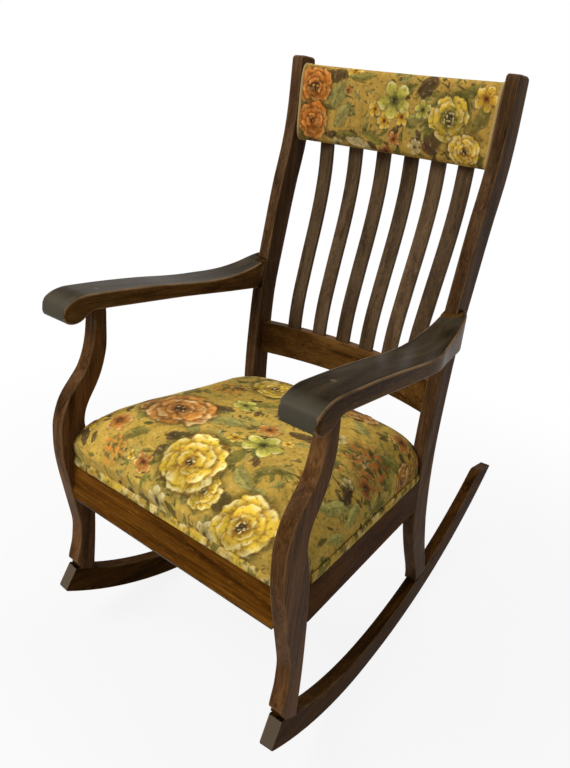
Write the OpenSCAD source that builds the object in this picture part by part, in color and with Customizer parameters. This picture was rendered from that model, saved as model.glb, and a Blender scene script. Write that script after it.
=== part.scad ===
/* [Overall] */
// Height of the back posts above the floor
back_h = 1001; // [900:1:1080]
// Width over the outer faces of the front posts
front_w = 476; // [420:1:540]
// Width over the outer faces of the back posts at seat height
waist_w = 414; // [370:1:470]
// Depth from the toe of the front post to the front of the back post at the waist
waist_y = 378; // [330:1:430]

/* [Rockers] */
// Radius of the running edge ahead of the resting point
front_r = 660; // [600:1:900]
// Radius of the running edge behind the resting point
rear_r = 1000; // [850:1:1300]
// Depth from the toe to the point that the rocker rests on
rest_y = 296; // [270:1:330]
// Half of the flat that the rocker rests on
rest_flat = 12; // [4:1:20]
// How far the rocker runs ahead of the toe
nose_l = 16; // [10:1:30]
// How far the rocker runs behind the resting point
tail_l = 559; // [480:1:620]
// Height of the rocker at the front
rocker_h = 43; // [36:1:52]
// Height of the rocker at the tail
tail_h = 57; // [40:1:66]
// How far the top of the tail ends ahead of its running edge
tail_cut = 82; // [40:1:100]
// Thickness of the rocker
rocker_t = 22; // [18:0.5:25]

/* [Posts] */
// Thickness of a front post across the chair
post_t = 25.5; // [22:0.5:32]
// How far the belly of a front post swells ahead of its toe
belly = 38; // [28:1:46]
// Height of the top of a front post above its foot
post_h = 470; // [440:1:500]
// Thickness of a back post across the chair
stile_t = 23.6; // [20:0.2:30]
// Depth of a back post from front to back
stile_d = 44; // [38:1:50]
// How far the foot of a back post kicks back behind its waist
foot_kick = 92; // [70:1:110]
// How far the top of a back post leans behind its waist
back_rake = 58; // [40:1:80]
// Height of the waist of a back post, its most forward place
waist_z = 430; // [400:1:460]
// Sideways lean of each back post
flare = 1.25; // [0:0.05:2]

/* [Arms] */
// Width of an arm
arm_w = 60; // [50:1:70]
// Thickness of an arm in its level stretch
arm_t = 26; // [20:0.5:32]
// How far an arm runs ahead of the toe
arm_nose = 48; // [40:1:60]
// How far an arm reaches outside the front post
arm_out = 22; // [14:1:30]
// How far the top of an arm sweeps up where it meets the back post
arm_rise = 34; // [20:1:45]
// How far the scroll hangs below the underside of the arm
scroll_drop = 17; // [10:1:24]
// Fall of the underside of an arm from front to back
arm_fall = 10; // [0:1:18]

/* [Seat frame] */
// Height of the top of the seat rails above the floor
rail_z = 318; // [290:1:345]
// Height of a seat rail
rail_h = 62; // [54:1:78]
// Thickness of a seat rail
rail_t = 21; // [18:0.5:26]
// Setback of the front rail from the belly of the post
rail_setback = 24; // [16:1:32]

/* [Seat] */
// Height of the crown of the seat above the rails
crown = 106; // [80:1:130]
// Thickness of the stuffing
stuffing_t = 13; // [8:1:14]
// Thickness of the cover cloth
cloth_t = 1.5; // [1:0.1:2.5]
// Height of the flat border along the rails
border_h = 14; // [10:1:20]
// Wire of a seat spring
spring_wire = 3.6; // [3:0.1:4.2]
// Turns of a seat spring
spring_turns = 5; // [3:1:6]

/* [Back] */
// Number of slats
slat_n = 6;
// Width of a slat
slat_w = 28; // [22:1:36]
// Thickness of a slat
slat_t = 8; // [6:0.5:10]
// Height of the lower back rail
low_rail_h = 62; // [50:1:75]
// Height of the top of the lower back rail above the floor
low_rail_z = 494; // [470:1:515]
// Bow of the lower back rail towards the rear
low_rail_bow = 36; // [15:1:44]
// Bow of the front of the headrest towards the rear
head_bow = 11; // [0:1:15]
// Height of the upholstered headrest
head_h = 137; // [110:1:150]
// Gap between the top of the headrest and the top of the back posts
head_gap = 13; // [4:1:20]
// Padding over the crest rail
head_pad = 9; // [5:0.5:14]

/* [Fastenings] */
// Diameter of a dowel
dowel_d = 9; // [7:0.5:11]
// Length of a dowel
dowel_l = 40; // [34:1:46]
// Clearance round a dowel
dowel_gap = 0.1; // [0.05:0.05:0.2]

/* [Hidden] */

// Smooth curve through points, with n steps between each pair
function clamp_i(i, n) = max(0, min(n - 1, i));
function weave(a, b, c, d, t) =
    0.5 * ((2 * b) + (c - a) * t + (2 * a - 5 * b + 4 * c - d) * t * t
    + (3 * b - a - 3 * c + d) * t * t * t);
function smooth(p, n) = let (m = len(p)) [for (i = [0:m - 2]) for (k = [0:n - 1])
    weave(p[clamp_i(i - 1, m)], p[i], p[i + 1], p[clamp_i(i + 2, m)], k / n), p[m - 1]];
// Value of a share table at x, its rows being [x, value]
function slope(table, i) = let (a = table[max(0, i - 1)], b = table[min(len(table) - 1, i + 1)])
    (b[1] - a[1]) / (b[0] - a[0]);
function at(table, x, i = 0) =
    i < len(table) - 2 && x > table[i + 1][0] ? at(table, x, i + 1)
    : let (a = table[i], b = table[i + 1], w = b[0] - a[0], k = max(0, min(1, (x - a[0]) / w)))
    (1 + 2 * k) * (1 - k) * (1 - k) * a[1] + k * (1 - k) * (1 - k) * w * slope(table, i)
    + k * k * (3 - 2 * k) * b[1] - k * k * (1 - k) * w * slope(table, i + 1);
// Points that round the corner b between a and c
corner_steps = 5;
function unit(v) = v / norm(v);
function corner(a, b, c, r) = [for (k = [0:corner_steps]) let (t = k / corner_steps,
    p = b + unit(a - b) * r, q = b + unit(c - b) * r) p * (1 - t) * (1 - t)
    + 2 * b * t * (1 - t) + q * t * t];
function reversed(p) = [for (i = [len(p) - 1:-1:0]) p[i]];

// Shared small sizes
overrun = 5;
seat_gap = 0.3;
half_w = front_w / 2;

// Rocker: two arcs that meet in a short flat at the resting point
nose_a = asin((rest_y - rest_flat + nose_l) / front_r);
tail_a = asin((tail_l - rest_flat) / rear_r);
front_steps = 12;
rear_steps = 15;
nose_round = 6;
tail_round = 12;
cut_w = 40;
function arc_r(side) = side < 0 ? front_r : rear_r;
// Point on an arc at [angle, side], raised by t from the running edge
function arc_point(s, t) = [rest_y + s[1] * rest_flat + (arc_r(s[1]) - t) * sin(s[0]),
    arc_r(s[1]) - (arc_r(s[1]) - t) * cos(s[0])];
tail_over_a = asin((tail_l - rest_flat - tail_cut) / (rear_r - tail_h));
function rocker_depth(a) = rocker_h + (tail_h - rocker_h) * max(0, a / tail_over_a);
function over_angle(s) = s[0] * (s[1] < 0 ? 1 : tail_over_a / tail_a);
arc_stations = concat([for (k = [0:front_steps]) [-nose_a * (1 - k / front_steps), -1]],
    [for (k = [0:rear_steps]) [tail_a * k / rear_steps, 1]]);
under_edge = [for (s = arc_stations) arc_point(s, 0)];
over_edge = [for (s = arc_stations) let (a = over_angle(s)) arc_point([a, s[1]], rocker_depth(a))];
arc_n = len(arc_stations) - 1;
rocker_outline = concat(
    corner(over_edge[0], under_edge[0], under_edge[1], nose_round),
    [for (k = [1:arc_n - 1]) under_edge[k]],
    corner(under_edge[arc_n - 1], under_edge[arc_n], over_edge[arc_n], tail_round / 2),
    corner(under_edge[arc_n], over_edge[arc_n], over_edge[arc_n - 1], tail_round),
    [for (k = [arc_n - 1:-1:1]) over_edge[k]],
    corner(over_edge[1], over_edge[0], under_edge[0], nose_round / 2));
// Top of the rocker at a depth near one of the feet
function over_z(y) = let (side = y < rest_y ? -1 : 1,
    a = asin((y - rest_y - side * rest_flat) / (arc_r(side) - rocker_h)))
    arc_r(side) - (arc_r(side) - rocker_depth(a)) * cos(a);

// Outer face of a back post at a height, which leans outwards by the flare
function stile_x(z) = waist_w / 2 + tan(flare) * (z - rail_z);
heel_y = waist_y + foot_kick + stile_d / 2;
heel_z = over_z(heel_y);
taper = atan((half_w - stile_x(heel_z)) / heel_y);
tail_y = max([for (p = rocker_outline) p[0]]) * cos(taper);
y_mid = (tail_y - arm_nose) / 2;

// Front post: places of its front and back edges as [height share, belly share]
toe_y = post_t / 2;
post_z = over_z(toe_y);
post_front_shares = [[0.036, 0], [0.06, 0.04], [0.1, 0.13], [0.14, 0.15], [0.19, 0.12],
    [0.25, -0.08], [0.33, -0.37], [0.42, -0.69], [0.49, -0.89], [0.55, -0.98], [0.61, -1],
    [0.67, -0.84], [0.71, -0.6], [0.75, -0.24], [0.785, 0.06], [0.83, 0.26], [0.88, 0.37],
    [0.93, 0.4], [1, 0.4]];
post_back_shares = [[0, 0.97], [0.1, 0.95], [0.175, 0.91], [0.27, 0.83], [0.35, 0.74],
    [0.43, 0.63], [0.49, 0.5], [0.55, 0.28], [0.59, 0.13], [0.63, 0.14], [0.67, 0.3],
    [0.725, 0.65], [0.775, 0.88], [0.83, 1.02], [0.87, 1.05], [0.93, 1], [1, 0.94]];
toe_notch_share = 0.21;
notch_z_share = 0.016;
post_steps = 3;
function post_point(s) = [s[1] * belly, post_z + s[0] * post_h];
function post_back_y(z) = at(post_back_shares, (z - post_z) / post_h) * belly;

// Underside of an arm at a depth, and the arm's other places
arm_z = post_z + post_h;
function arm_under(y) = arm_z - arm_fall * y / waist_y;
arm_top = arm_z + arm_t;
arm_x = half_w + arm_out;
arm_in = arm_x - arm_w;
arm_lap = 0.42 * arm_out;
lap_x = stile_x(arm_z) + arm_lap;

// Back post: depth of its front edge at a height
foot_shares = [[0, 1], [0.11, 0.78], [0.23, 0.54], [0.36, 0.32], [0.43, 0.23],
    [0.55, 0.15], [0.68, 0.08], [0.84, 0.02], [1, 0]];
rake_shares = [[0, 0], [0.12, 0.02], [0.23, 0.07], [0.375, 0.26], [0.46, 0.385],
    [0.53, 0.49], [0.61, 0.63], [0.67, 0.77], [0.73, 0.89], [0.8, 0.97], [0.86, 1], [1, 1]];
depth_shares = [[0, 0.86], [0.09, 1.04], [0.16, 1.12], [0.23, 1.04], [0.3, 1],
    [0.4, 0.98], [0.53, 0.96], [0.64, 1.01], [0.8, 1.07], [0.9, 1.02], [1, 0.94]];
stile_rows = 34;
stile_round = 9;
heel_low = heel_z - 0.45 * rocker_h;
function stile_front(z) = waist_y + (z < waist_z
    ? foot_kick * at(foot_shares, (z - heel_z) / (waist_z - heel_z))
    : back_rake * at(rake_shares, (z - waist_z) / (back_h - waist_z)));
function stile_back(z) = stile_front(z)
    + stile_d * at(depth_shares, (z - heel_z) / (back_h - heel_z));

// Seat frame: the side rails run from the back of the front posts to the back posts
rail_under = rail_z - rail_h;
rail_mid = rail_z - rail_h / 2;
front_rail_y = rail_setback - belly;
side_front_y = post_back_y(rail_mid);
side_back_y = stile_front(rail_mid);
side_taper = atan((half_w - stile_x(rail_mid)) / (side_back_y - side_front_y));
function side_x(y) = half_w - tan(side_taper) * (y - side_front_y);
rear_rail_y = stile_front(rail_mid) + stile_d / 2 - rail_t / 2;
band_t = 3;
seat_front_y = front_rail_y - band_t;
seat_back_y = rear_rail_y + rail_t / 2;
seat_centre = (seat_front_y + seat_back_y) / 2;
seat_reach = (seat_back_y - seat_front_y) / 2;

// Back: lower rail, crest rail and slats, all bowed towards the rear
low_rail_setback = 0.4 * stile_d;
low_rail_mid = low_rail_z - low_rail_h / 2;
low_rail_y = stile_front(low_rail_mid) + low_rail_setback;
head_z = back_h - head_gap - head_h;
head_mid = head_z + head_h / 2;
crest_y = stile_front(head_mid) + head_pad + 0.06 * stile_d;
crest_under = head_z + head_pad;
function inner_x(z) = stile_x(z) - stile_t;
function bow_at(x, w, bow) = bow * (1 - x * x / (w * w));
tenon_l = 10;
mortise_gap = 0.2;
slat_shares = [[0, 0], [0.1, 0.035], [0.2, 0.135], [0.3, 0.295], [0.4, 0.465], [0.5, 0.65],
    [0.61, 0.833], [0.72, 0.97], [0.82, 1.04], [0.91, 1.035], [1, 1]];
low_gap_share = 1.16;
top_gap_share = 0.75;
slat_low_pitch = 2 * inner_x(low_rail_z) / (slat_n + low_gap_share);
slat_top_pitch = 2 * inner_x(crest_under) / (slat_n + top_gap_share);
function slat_low_x(i) = slat_low_pitch * (i - (slat_n - 1) / 2);
function slat_top_x(i) = slat_top_pitch * (i - (slat_n - 1) / 2);
function slat_low_y(i) = low_rail_y + bow_at(slat_low_x(i), inner_x(low_rail_mid), low_rail_bow)
    + (rail_t - slat_t) / 2;
function slat_top_y(i) = crest_y + bow_at(slat_top_x(i), inner_x(head_mid), low_rail_bow)
    + (rail_t - slat_t) / 2;

// Moves everything from the toe of the front posts to the middle of the chair
module placed() { translate([0, -y_mid, 0]) children(); }
module mirrored_pair() { children(); mirror([1, 0, 0]) children(); }
// Stands an outline drawn as [depth, height] across the chair, from x to x + w
module sawn(outline, x, w) {
    translate([x, 0, 0]) rotate([90, 0, 90]) linear_extrude(w) polygon(outline);
}
module rod_along(p, turn, d, l) {
    translate(p) rotate(turn) cylinder(d = d, h = l, center = true, $fn = 24);
}

module rocker_bar(w) {
    translate([half_w, 0, 0]) rotate([0, 0, taper])
        sawn(rocker_outline, -rocker_t / 2 - w / 2, w);
}
module rocker_piece() {
    difference() {
        rocker_bar(rocker_t);
        foot_dowel_pair(dowel_gap);
    }
}
module post_outline() {
    front = smooth([for (s = post_front_shares) post_point(s)], post_steps);
    back = smooth([for (s = post_back_shares) post_point(s)], post_steps);
    top_f = front[len(front) - 1];
    top_b = back[len(back) - 1];
    notch = toe_notch_share * belly;
    low = post_z - rocker_h / 2;
    polygon(concat([[notch, low], [notch, post_z + notch_z_share * post_h]],
        [for (i = [0:len(front) - 2]) front[i]],
        [[top_f[0], arm_under(top_f[0])], [top_b[0], arm_under(top_b[0])]],
        [for (i = [len(back) - 2:-1:0]) back[i]], [[back[0][0], low]]));
}
module post_bar(w) {
    translate([half_w - post_t / 2 - w / 2, 0, 0]) rotate([90, 0, 90]) linear_extrude(w)
        post_outline();
}
module post_piece() {
    difference() {
        post_bar(post_t);
        rocker_bar(cut_w);
        foot_dowel_pair(dowel_gap);
        front_dowel_pair(dowel_gap);
        side_dowel_pair(dowel_gap);
        arm_screw(dowel_gap);
    }
}
module stile_bar(w) {
    zs = [for (k = [0:stile_rows]) heel_low + (back_h - heel_low) * k / stile_rows];
    front = [for (z = zs) [stile_front(z), z]];
    back = [for (z = zs) [stile_back(z), z]];
    n = stile_rows;
    outline = concat([for (k = [0:n - 1]) front[k]],
        corner(front[n - 1], front[n], back[n], stile_round),
        corner(front[n], back[n], back[n - 1], stile_round),
        [for (k = [n - 1:-1:0]) back[k]]);
    translate([stile_x(0), 0, 0]) rotate([0, flare, 0]) sawn(outline, -stile_t / 2 - w / 2, w);
}
module stile_piece() {
    difference() {
        stile_bar(stile_t);
        rocker_bar(cut_w);
        foot_dowel_pair(dowel_gap);
        side_dowel_pair(dowel_gap);
        cross_dowels(dowel_gap);
        arm_dowel(dowel_gap);
    }
}

// Arm: outline from the side, in shares of the nose, the scroll, the thickness and the sweep
scroll_shares = [[0.17, 0], [0.02, -0.1], [-0.16, -0.42], [-0.33, -0.8], [-0.52, -1],
    [-0.71, -1.02], [-0.88, -0.86], [-0.98, -0.5]];
nose_shares = [[-1, -0.04], [-0.96, 0.3], [-0.84, 0.58], [-0.6, 0.83], [-0.3, 0.97], [0, 1]];
sweep_shares = [[0.12, 0], [0.24, -0.03], [0.37, -0.09], [0.49, -0.18], [0.6, -0.235],
    [0.69, -0.22], [0.77, -0.15], [0.85, -0.02], [0.93, 0.19], [0.99, 0.42], [1.045, 0.66],
    [1.09, 0.86], [1.14, 1.02]];
plan_shares = [[0.6, 1], [0.66, 0.98], [0.71, 0.92], [0.76, 0.8], [0.83, 0.65], [0.93, 0.46],
    [1, 0.32], [1.04, 0.2], [1.065, 0.08]];
arm_steps = 3;
arm_corner = 7;
arm_side = smooth(concat(
    [for (s = scroll_shares) [s[0] * arm_nose, arm_z + s[1] * scroll_drop]],
    [for (s = nose_shares) [s[0] * arm_nose, arm_z + s[1] * arm_t]],
    [for (s = sweep_shares) [s[0] * waist_y, arm_top + s[1] * arm_rise]]), arm_steps);
arm_reach = arm_x - lap_x;
arm_heel_x = inner_x(arm_top + arm_rise);
arm_end = 1.14 * waist_y;
arm_plan = concat(
    corner([arm_in, 0], [arm_in, -arm_nose], [arm_x, -arm_nose], arm_corner),
    corner([arm_in, -arm_nose], [arm_x, -arm_nose], [arm_x, 0], arm_corner),
    smooth([for (s = plan_shares) [lap_x + s[1] * arm_reach, s[0] * waist_y]], arm_steps),
    [[lap_x - arm_lap / 2, 1.075 * waist_y], [arm_heel_x, 1.075 * waist_y],
    [arm_heel_x, 0.98 * waist_y], [arm_heel_x + 0.2 * arm_lap, 0.8 * waist_y],
    [arm_in, 0.5 * waist_y]]);
plug_h = 8;
screw_d = 4.5;
screw_l = 52;
head_d = 8.4;
screw_head_h = 3.5;
plug_y = 0.68 * belly;
plug_x = half_w - post_t / 2;
module arm_plug(g) {
    translate([plug_x, plug_y, arm_top - plug_h - g]) cylinder(d = dowel_d + 2 * g,
        h = plug_h + 2 * g, $fn = 32);
}
module arm_screw(g) {
    head_top = arm_top - plug_h - mortise_gap;
    translate([plug_x, plug_y, head_top - screw_head_h - g])
        cylinder(d = head_d + 2 * g, h = screw_head_h + g + mortise_gap, $fn = 32);
    translate([plug_x, plug_y, head_top - screw_l]) cylinder(d = screw_d + 2 * g,
        h = screw_l - screw_head_h / 2, $fn = 32);
}
module arm_piece() {
    difference() {
        intersection() {
            sawn(concat(arm_side, [[arm_end, arm_under(arm_end)]]), inner_x(0), arm_x);
            translate([0, 0, arm_z - arm_nose]) linear_extrude(arm_nose + arm_w + arm_rise)
                polygon(arm_plan);
        }
        stile_bar(stile_t);
        arm_dowel(dowel_gap);
        arm_screw(dowel_gap);
        translate([plug_x, plug_y, arm_top - plug_h - mortise_gap])
            cylinder(d = dowel_d + 2 * dowel_gap, h = arm_t, $fn = 32);
    }
}

// Dowels: half of each sits in either piece
dowel_high = 0.29 * rail_h;
dowel_low = 0.14 * rail_h;
module front_dowel_pair(g) {
    for (s = [-1, 1])
        rod_along([half_w - post_t, front_rail_y + rail_t / 2, rail_mid + s * dowel_high],
            [0, 90, 0], dowel_d + 2 * g, dowel_l + 20 * g);
}
module side_dowel_pair(g) {
    for (s = [-1, 1], y = [side_front_y, side_back_y])
        rod_along([side_x(y) - rail_t / 2, y, rail_mid + s * dowel_low],
            [90, 0, side_taper], dowel_d + 2 * g, dowel_l + 20 * g);
}
module cross_dowel(y, z, g) {
    rod_along([inner_x(z), y, z], [0, 90, 0], dowel_d + 2 * g, dowel_l + 20 * g);
}
// A bowed rail leaves the straight line of its dowels, so they start a little to the rear
dowel_mid_x = inner_x(low_rail_mid) - dowel_l / 4;
dowel_back = rail_t / 2 + bow_at(dowel_mid_x, inner_x(low_rail_mid), low_rail_bow);
module cross_dowels(g) {
    for (s = [-1, 1]) {
        cross_dowel(rear_rail_y + rail_t / 2, rail_mid + s * dowel_high, g);
        cross_dowel(low_rail_y + dowel_back, low_rail_mid + s * low_rail_h / 4, g);
        cross_dowel(crest_y + dowel_back, head_mid + s * head_h / 4, g);
    }
}
foot_front_y = toe_y + 0.25 * belly;
foot_back_y = heel_y - stile_d / 7;
module foot_dowel(y) {
    translate([half_w - rocker_t / 2 - tan(taper) * y, y, over_z(y)]) children();
}
module foot_dowel_pair(g) {
    for (y = [foot_front_y, foot_back_y])
        foot_dowel(y) rod_along([0, 0, 0], [0, 0, 0], dowel_d + 2 * g, dowel_l + 20 * g);
}
arm_dowel_z = arm_z + arm_t * 0.8;
module arm_dowel(g) {
    rod_along([stile_x(arm_dowel_z) - stile_t / 2, stile_front(arm_dowel_z), arm_dowel_z],
        [90, 0, 0], dowel_d + 2 * g, dowel_l + 20 * g);
}

// Webbing under the rails, with the springs over every other crossing
spring_pitch_x = waist_w / 4;
spring_pitch_y = 0.28 * waist_y;
strap_w = 45;
strap_t = 1.5;
strap_n = 5;
tack_d = 1.8;
tack_l = 12;
tack_head_d = 8;
tack_head_t = 1;
function strap_x(i) = (i - (strap_n - 1) / 2) * spring_pitch_x / 2;
function strap_y(i) = seat_centre + (i - (strap_n - 1) / 2) * spring_pitch_y / 2;
rear_tack_y = rear_rail_y + rail_t / 2;
front_tack_y = front_rail_y + rail_t / 2;
function tack_spots() = concat(
    [for (i = [0:strap_n - 1], y = [front_tack_y, rear_tack_y], s = [-1, 1])
        [strap_x(i) + s * strap_w / 4, y, 2]],
    [for (i = [0:strap_n - 1], m = [-1, 1], s = [-1, 1])
        let (y = strap_y(i) + s * strap_w / 4) [m * (side_x(y) - rail_t / 2), y, 1]]);
module tack_shafts(g) {
    for (p = tack_spots())
        translate([p[0], p[1], rail_under - p[2] * strap_t - g])
            cylinder(d = tack_d + 2 * g, h = tack_l + 2 * g, $fn = 16);
}
module tacks() {
    for (p = tack_spots()) translate([p[0], p[1], rail_under - p[2] * strap_t]) {
        cylinder(d = tack_d, h = tack_l, $fn = 16);
        translate([0, 0, -tack_head_t]) cylinder(d = tack_head_d, h = tack_head_t, $fn = 20);
    }
}
strap_end = rail_t * 0.35;
sew_gap = 0.1;
module long_straps() {
    difference() {
        for (i = [0:strap_n - 1])
            translate([strap_x(i) - strap_w / 2, front_tack_y - strap_end,
                rail_under - 2 * strap_t])
                cube([strap_w, rear_tack_y - front_tack_y + 2 * strap_end, strap_t - sew_gap]);
        tack_shafts(dowel_gap);
    }
}
module cross_straps() {
    difference() {
        for (i = [0:strap_n - 1]) let (r = side_x(strap_y(i)) - rail_t / 2 + strap_end)
            translate([-r, strap_y(i) - strap_w / 2, rail_under - strap_t])
                cube([2 * r, strap_w, strap_t]);
        tack_shafts(dowel_gap);
    }
}

module front_rail_piece() {
    w = half_w - post_t;
    difference() {
        translate([-w, front_rail_y, rail_under]) cube([2 * w, rail_t, rail_h]);
        mirrored_pair() front_dowel_pair(dowel_gap);
        tack_shafts(dowel_gap);
    }
}
module side_rail_bar(g) {
    run = side_back_y - side_front_y;
    translate([half_w, side_front_y, 0]) rotate([0, 0, side_taper])
        translate([-rail_t - g, -rail_t / 2, rail_under - g])
            cube([rail_t + g, run + rail_t, rail_h + 2 * g]);
}
module side_rail_piece() {
    difference() {
        side_rail_bar(0);
        post_bar(cut_w);
        stile_bar(cut_w);
        side_dowel_pair(dowel_gap);
        tack_shafts(dowel_gap);
    }
}
module rear_rail_piece() {
    w = inner_x(rail_mid) + stile_t / 2;
    difference() {
        translate([-w, rear_rail_y, rail_under]) cube([2 * w, rail_t, rail_h]);
        mirrored_pair() stile_bar(stile_t);
        mirrored_pair() cross_dowels(dowel_gap);
        tack_shafts(dowel_gap);
    }
}
block_leg = 48;
block_h = 0.64 * rail_h;
module block(y, way) {
    inner = side_x(y) - rail_t;
    difference() {
        translate([0, 0, rail_mid - block_h / 2]) linear_extrude(block_h)
            polygon([[inner - block_leg, y], [inner + rail_t / 2, y],
                [inner + rail_t / 2, y + way * block_leg], [inner, y + way * block_leg]]);
        side_rail_bar(0);
        post_bar(post_t);
        stile_bar(stile_t);
    }
}
module blocks() {
    mirrored_pair() {
        block(front_rail_y + rail_t, 1);
        block(rear_rail_y, -1);
    }
}

// A rail sawn to a bow, seen from above
bow_steps = 24;
module bowed_rail(y, bow, w, z, h, t = rail_t) {
    reach = w + stile_t / 2;
    xs = [for (k = [0:bow_steps]) -reach + 2 * reach * k / bow_steps];
    translate([0, 0, z]) linear_extrude(h)
        polygon(concat([for (x = xs) [x, y + bow_at(x, w, bow)]],
            reversed([for (x = xs) [x, y + t + bow_at(x, w, bow)]])));
}
module slat_bar(i, g) {
    z0 = low_rail_z - tenon_l - g;
    z1 = crest_under + tenon_l + g;
    y0 = slat_low_y(i);
    y1 = slat_top_y(i);
    zs = [for (k = [0:bow_steps]) z0 + (z1 - z0) * k / bow_steps];
    front = [for (z = zs) [y0 + (y1 - y0) * at(slat_shares, (z - z0) / (z1 - z0)) - g, z]];
    back = [for (p = front) [p[0] + slat_t + 2 * g, p[1]]];
    lean = atan((slat_top_x(i) - slat_low_x(i)) / (crest_under - low_rail_z));
    translate([slat_low_x(i), 0, low_rail_z]) rotate([0, lean, 0]) translate([0, 0, -low_rail_z])
        sawn(concat(front, reversed(back)), -slat_w / 2 - g, slat_w + 2 * g);
}
module lower_back_rail_piece() {
    difference() {
        bowed_rail(low_rail_y, low_rail_bow, inner_x(low_rail_mid), low_rail_z - low_rail_h,
            low_rail_h);
        mirrored_pair() stile_bar(stile_t);
        mirrored_pair() cross_dowels(dowel_gap);
        for (i = [0:slat_n - 1]) slat_bar(i, mortise_gap);
    }
}
module crest_rail_piece() {
    difference() {
        bowed_rail(crest_y, low_rail_bow, inner_x(head_mid), crest_under, head_h - 2 * head_pad);
        mirrored_pair() stile_bar(stile_t);
        mirrored_pair() cross_dowels(dowel_gap);
        for (i = [0:slat_n - 1]) slat_bar(i, mortise_gap);
    }
}

// Skin over rings of points, with the first and the last ring closed by a flat cap
module skin(rings) {
    n = len(rings[0]);
    m = len(rings);
    polyhedron(points = [for (r = rings) each r],
        faces = concat([[for (j = [0:n - 1]) j]],
            [for (i = [0:m - 2], j = [0:n - 1]) let (k = (j + 1) % n)
                [i * n + j, (i + 1) * n + j, i * n + k]],
            [for (i = [0:m - 2], j = [0:n - 1]) let (k = (j + 1) % n)
                [i * n + k, (i + 1) * n + j, (i + 1) * n + k]],
            [[for (j = [n - 1:-1:0]) (m - 1) * n + j]]));
}

// Seat: a rounded outline that narrows to the rear, and a dome over it
seat_sides = 48;
low_power = 14;
high_power = 4;
dome_power = 4;
dome_share = 0.45;
function power_at(t) = high_power + (low_power - high_power) * pow(t, 4);
function seat_ring(t, inset, z) = [for (k = [0:seat_sides - 1]) let (f = 360 * k / seat_sides,
    e = power_at(t), q = pow(pow(abs(cos(f)), e) + pow(abs(sin(f)), e), -1 / e),
    y = seat_centre + q * sin(f) * (seat_reach - inset) * t)
    [q * cos(f) * (side_x(y) - inset) * t, y, z]];
function dome_z(t, inset) = rail_z + border_h
    + (crown - border_h - inset) * pow(1 - pow(t, dome_power), dome_share);
dome_shares = [1, 0.99, 0.96, 0.91, 0.84, 0.74, 0.6, 0.4, 0.18, 0.03];
function dome_rings(inset) = concat([seat_ring(1, inset, rail_z)],
    [for (t = dome_shares) seat_ring(t, inset, dome_z(t, inset))]);
module seat_corners(g) {
    translate([half_w - post_t - g, 0, 0]) rotate([90, 0, 90]) linear_extrude(post_t * 2)
        offset(delta = g) post_outline();
    translate([stile_x(rail_z) - stile_t - g, stile_front(waist_z) - g, rail_under])
        cube([stile_t * 2, stile_d * 2, crown * 2]);
}
module shell(out, wall) {
    difference() {
        skin(concat(reversed(dome_rings(out + wall)), dome_rings(out)));
        mirrored_pair() seat_corners(seat_gap);
    }
}
cover_in = band_t + seat_gap;
stuffing_in = cover_in + cloth_t + seat_gap;
burlap_in = stuffing_in + stuffing_t + seat_gap;
spring_top_in = burlap_in + cloth_t + seat_gap;
module border_band() {
    outer = [for (p = seat_ring(1, 0, 0)) [p[0], p[1]]];
    inner = [for (p = seat_ring(1, band_t, 0)) [p[0], p[1]]];
    difference() {
        translate([0, 0, rail_z]) linear_extrude(border_h) difference() {
            polygon(outer);
            polygon(inner);
        }
        mirrored_pair() seat_corners(seat_gap);
        translate([-half_w, stile_front(waist_z) - seat_gap, rail_z - overrun])
            cube([front_w, stile_d * 2, crown]);
    }
}

// Springs: hourglass coils between the webbing and the burlap
spring_n = 3;
spring_r = 30;
spring_waist_r = 20;
spring_rings = 8;
spring_sides = 6;
spring_low = rail_under + seat_gap;
function spring_x(i) = (i - 1) * spring_pitch_x;
function spring_y(i) = seat_centre + (i - 1) * spring_pitch_y;
function dome_t(x, y, inset) = let (e = power_at(0.8),
    u = abs(x) / (side_x(y) - inset), v = abs(y - seat_centre) / (seat_reach - inset))
    pow(pow(u, e) + pow(v, e), 1 / e);
function spring_top(x, y) = dome_z(dome_t(abs(x) + spring_r + spring_wire,
    y + (y < seat_centre ? -spring_r : spring_r), spring_top_in), spring_top_in);
module spring(x, y) {
    h = spring_top(x, y) - spring_low;
    n = spring_rings * spring_turns;
    translate([x, y, spring_low]) skin([for (k = [0:n]) let (f = 360 * k / spring_rings,
        r = spring_waist_r + (spring_r - spring_waist_r) * pow(2 * k / n - 1, 2),
        z = spring_wire / 2 + (h - spring_wire) * k / n)
        [for (j = [0:spring_sides - 1]) let (a = 360 * j / spring_sides,
            d = r + spring_wire / 2 * cos(a))
            [d * cos(f), d * sin(f), z - spring_wire / 2 * sin(a)]]]);
}
least_spring = spring_top(spring_x(2), spring_y(0)) - spring_low;
echo(least_gap = (least_spring - spring_wire) / spring_turns - spring_wire);

// Dust cover under the webbing, cut clear of the legs
dust_t = 1;
dust_in = 4;
dust_z = rail_under - 2 * strap_t - tack_head_t - seat_gap - dust_t;
module dust_sheet() {
    y0 = front_rail_y + dust_in;
    y1 = post_back_y(dust_z) + dust_in;
    y2 = stile_front(dust_z) - dust_in;
    y3 = rear_rail_y + rail_t - dust_in;
    half = [[half_w - post_t - dust_in, y0], [half_w - post_t - dust_in, y1],
        [side_x(y1) - dust_in, y1], [side_x(y2) - dust_in, y2],
        [inner_x(dust_z) - dust_in, y2], [inner_x(dust_z) - dust_in, y3]];
    translate([0, 0, dust_z]) linear_extrude(dust_t)
        polygon(concat(half, reversed([for (p = half) [-p[0], p[1]]])));
}

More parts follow.
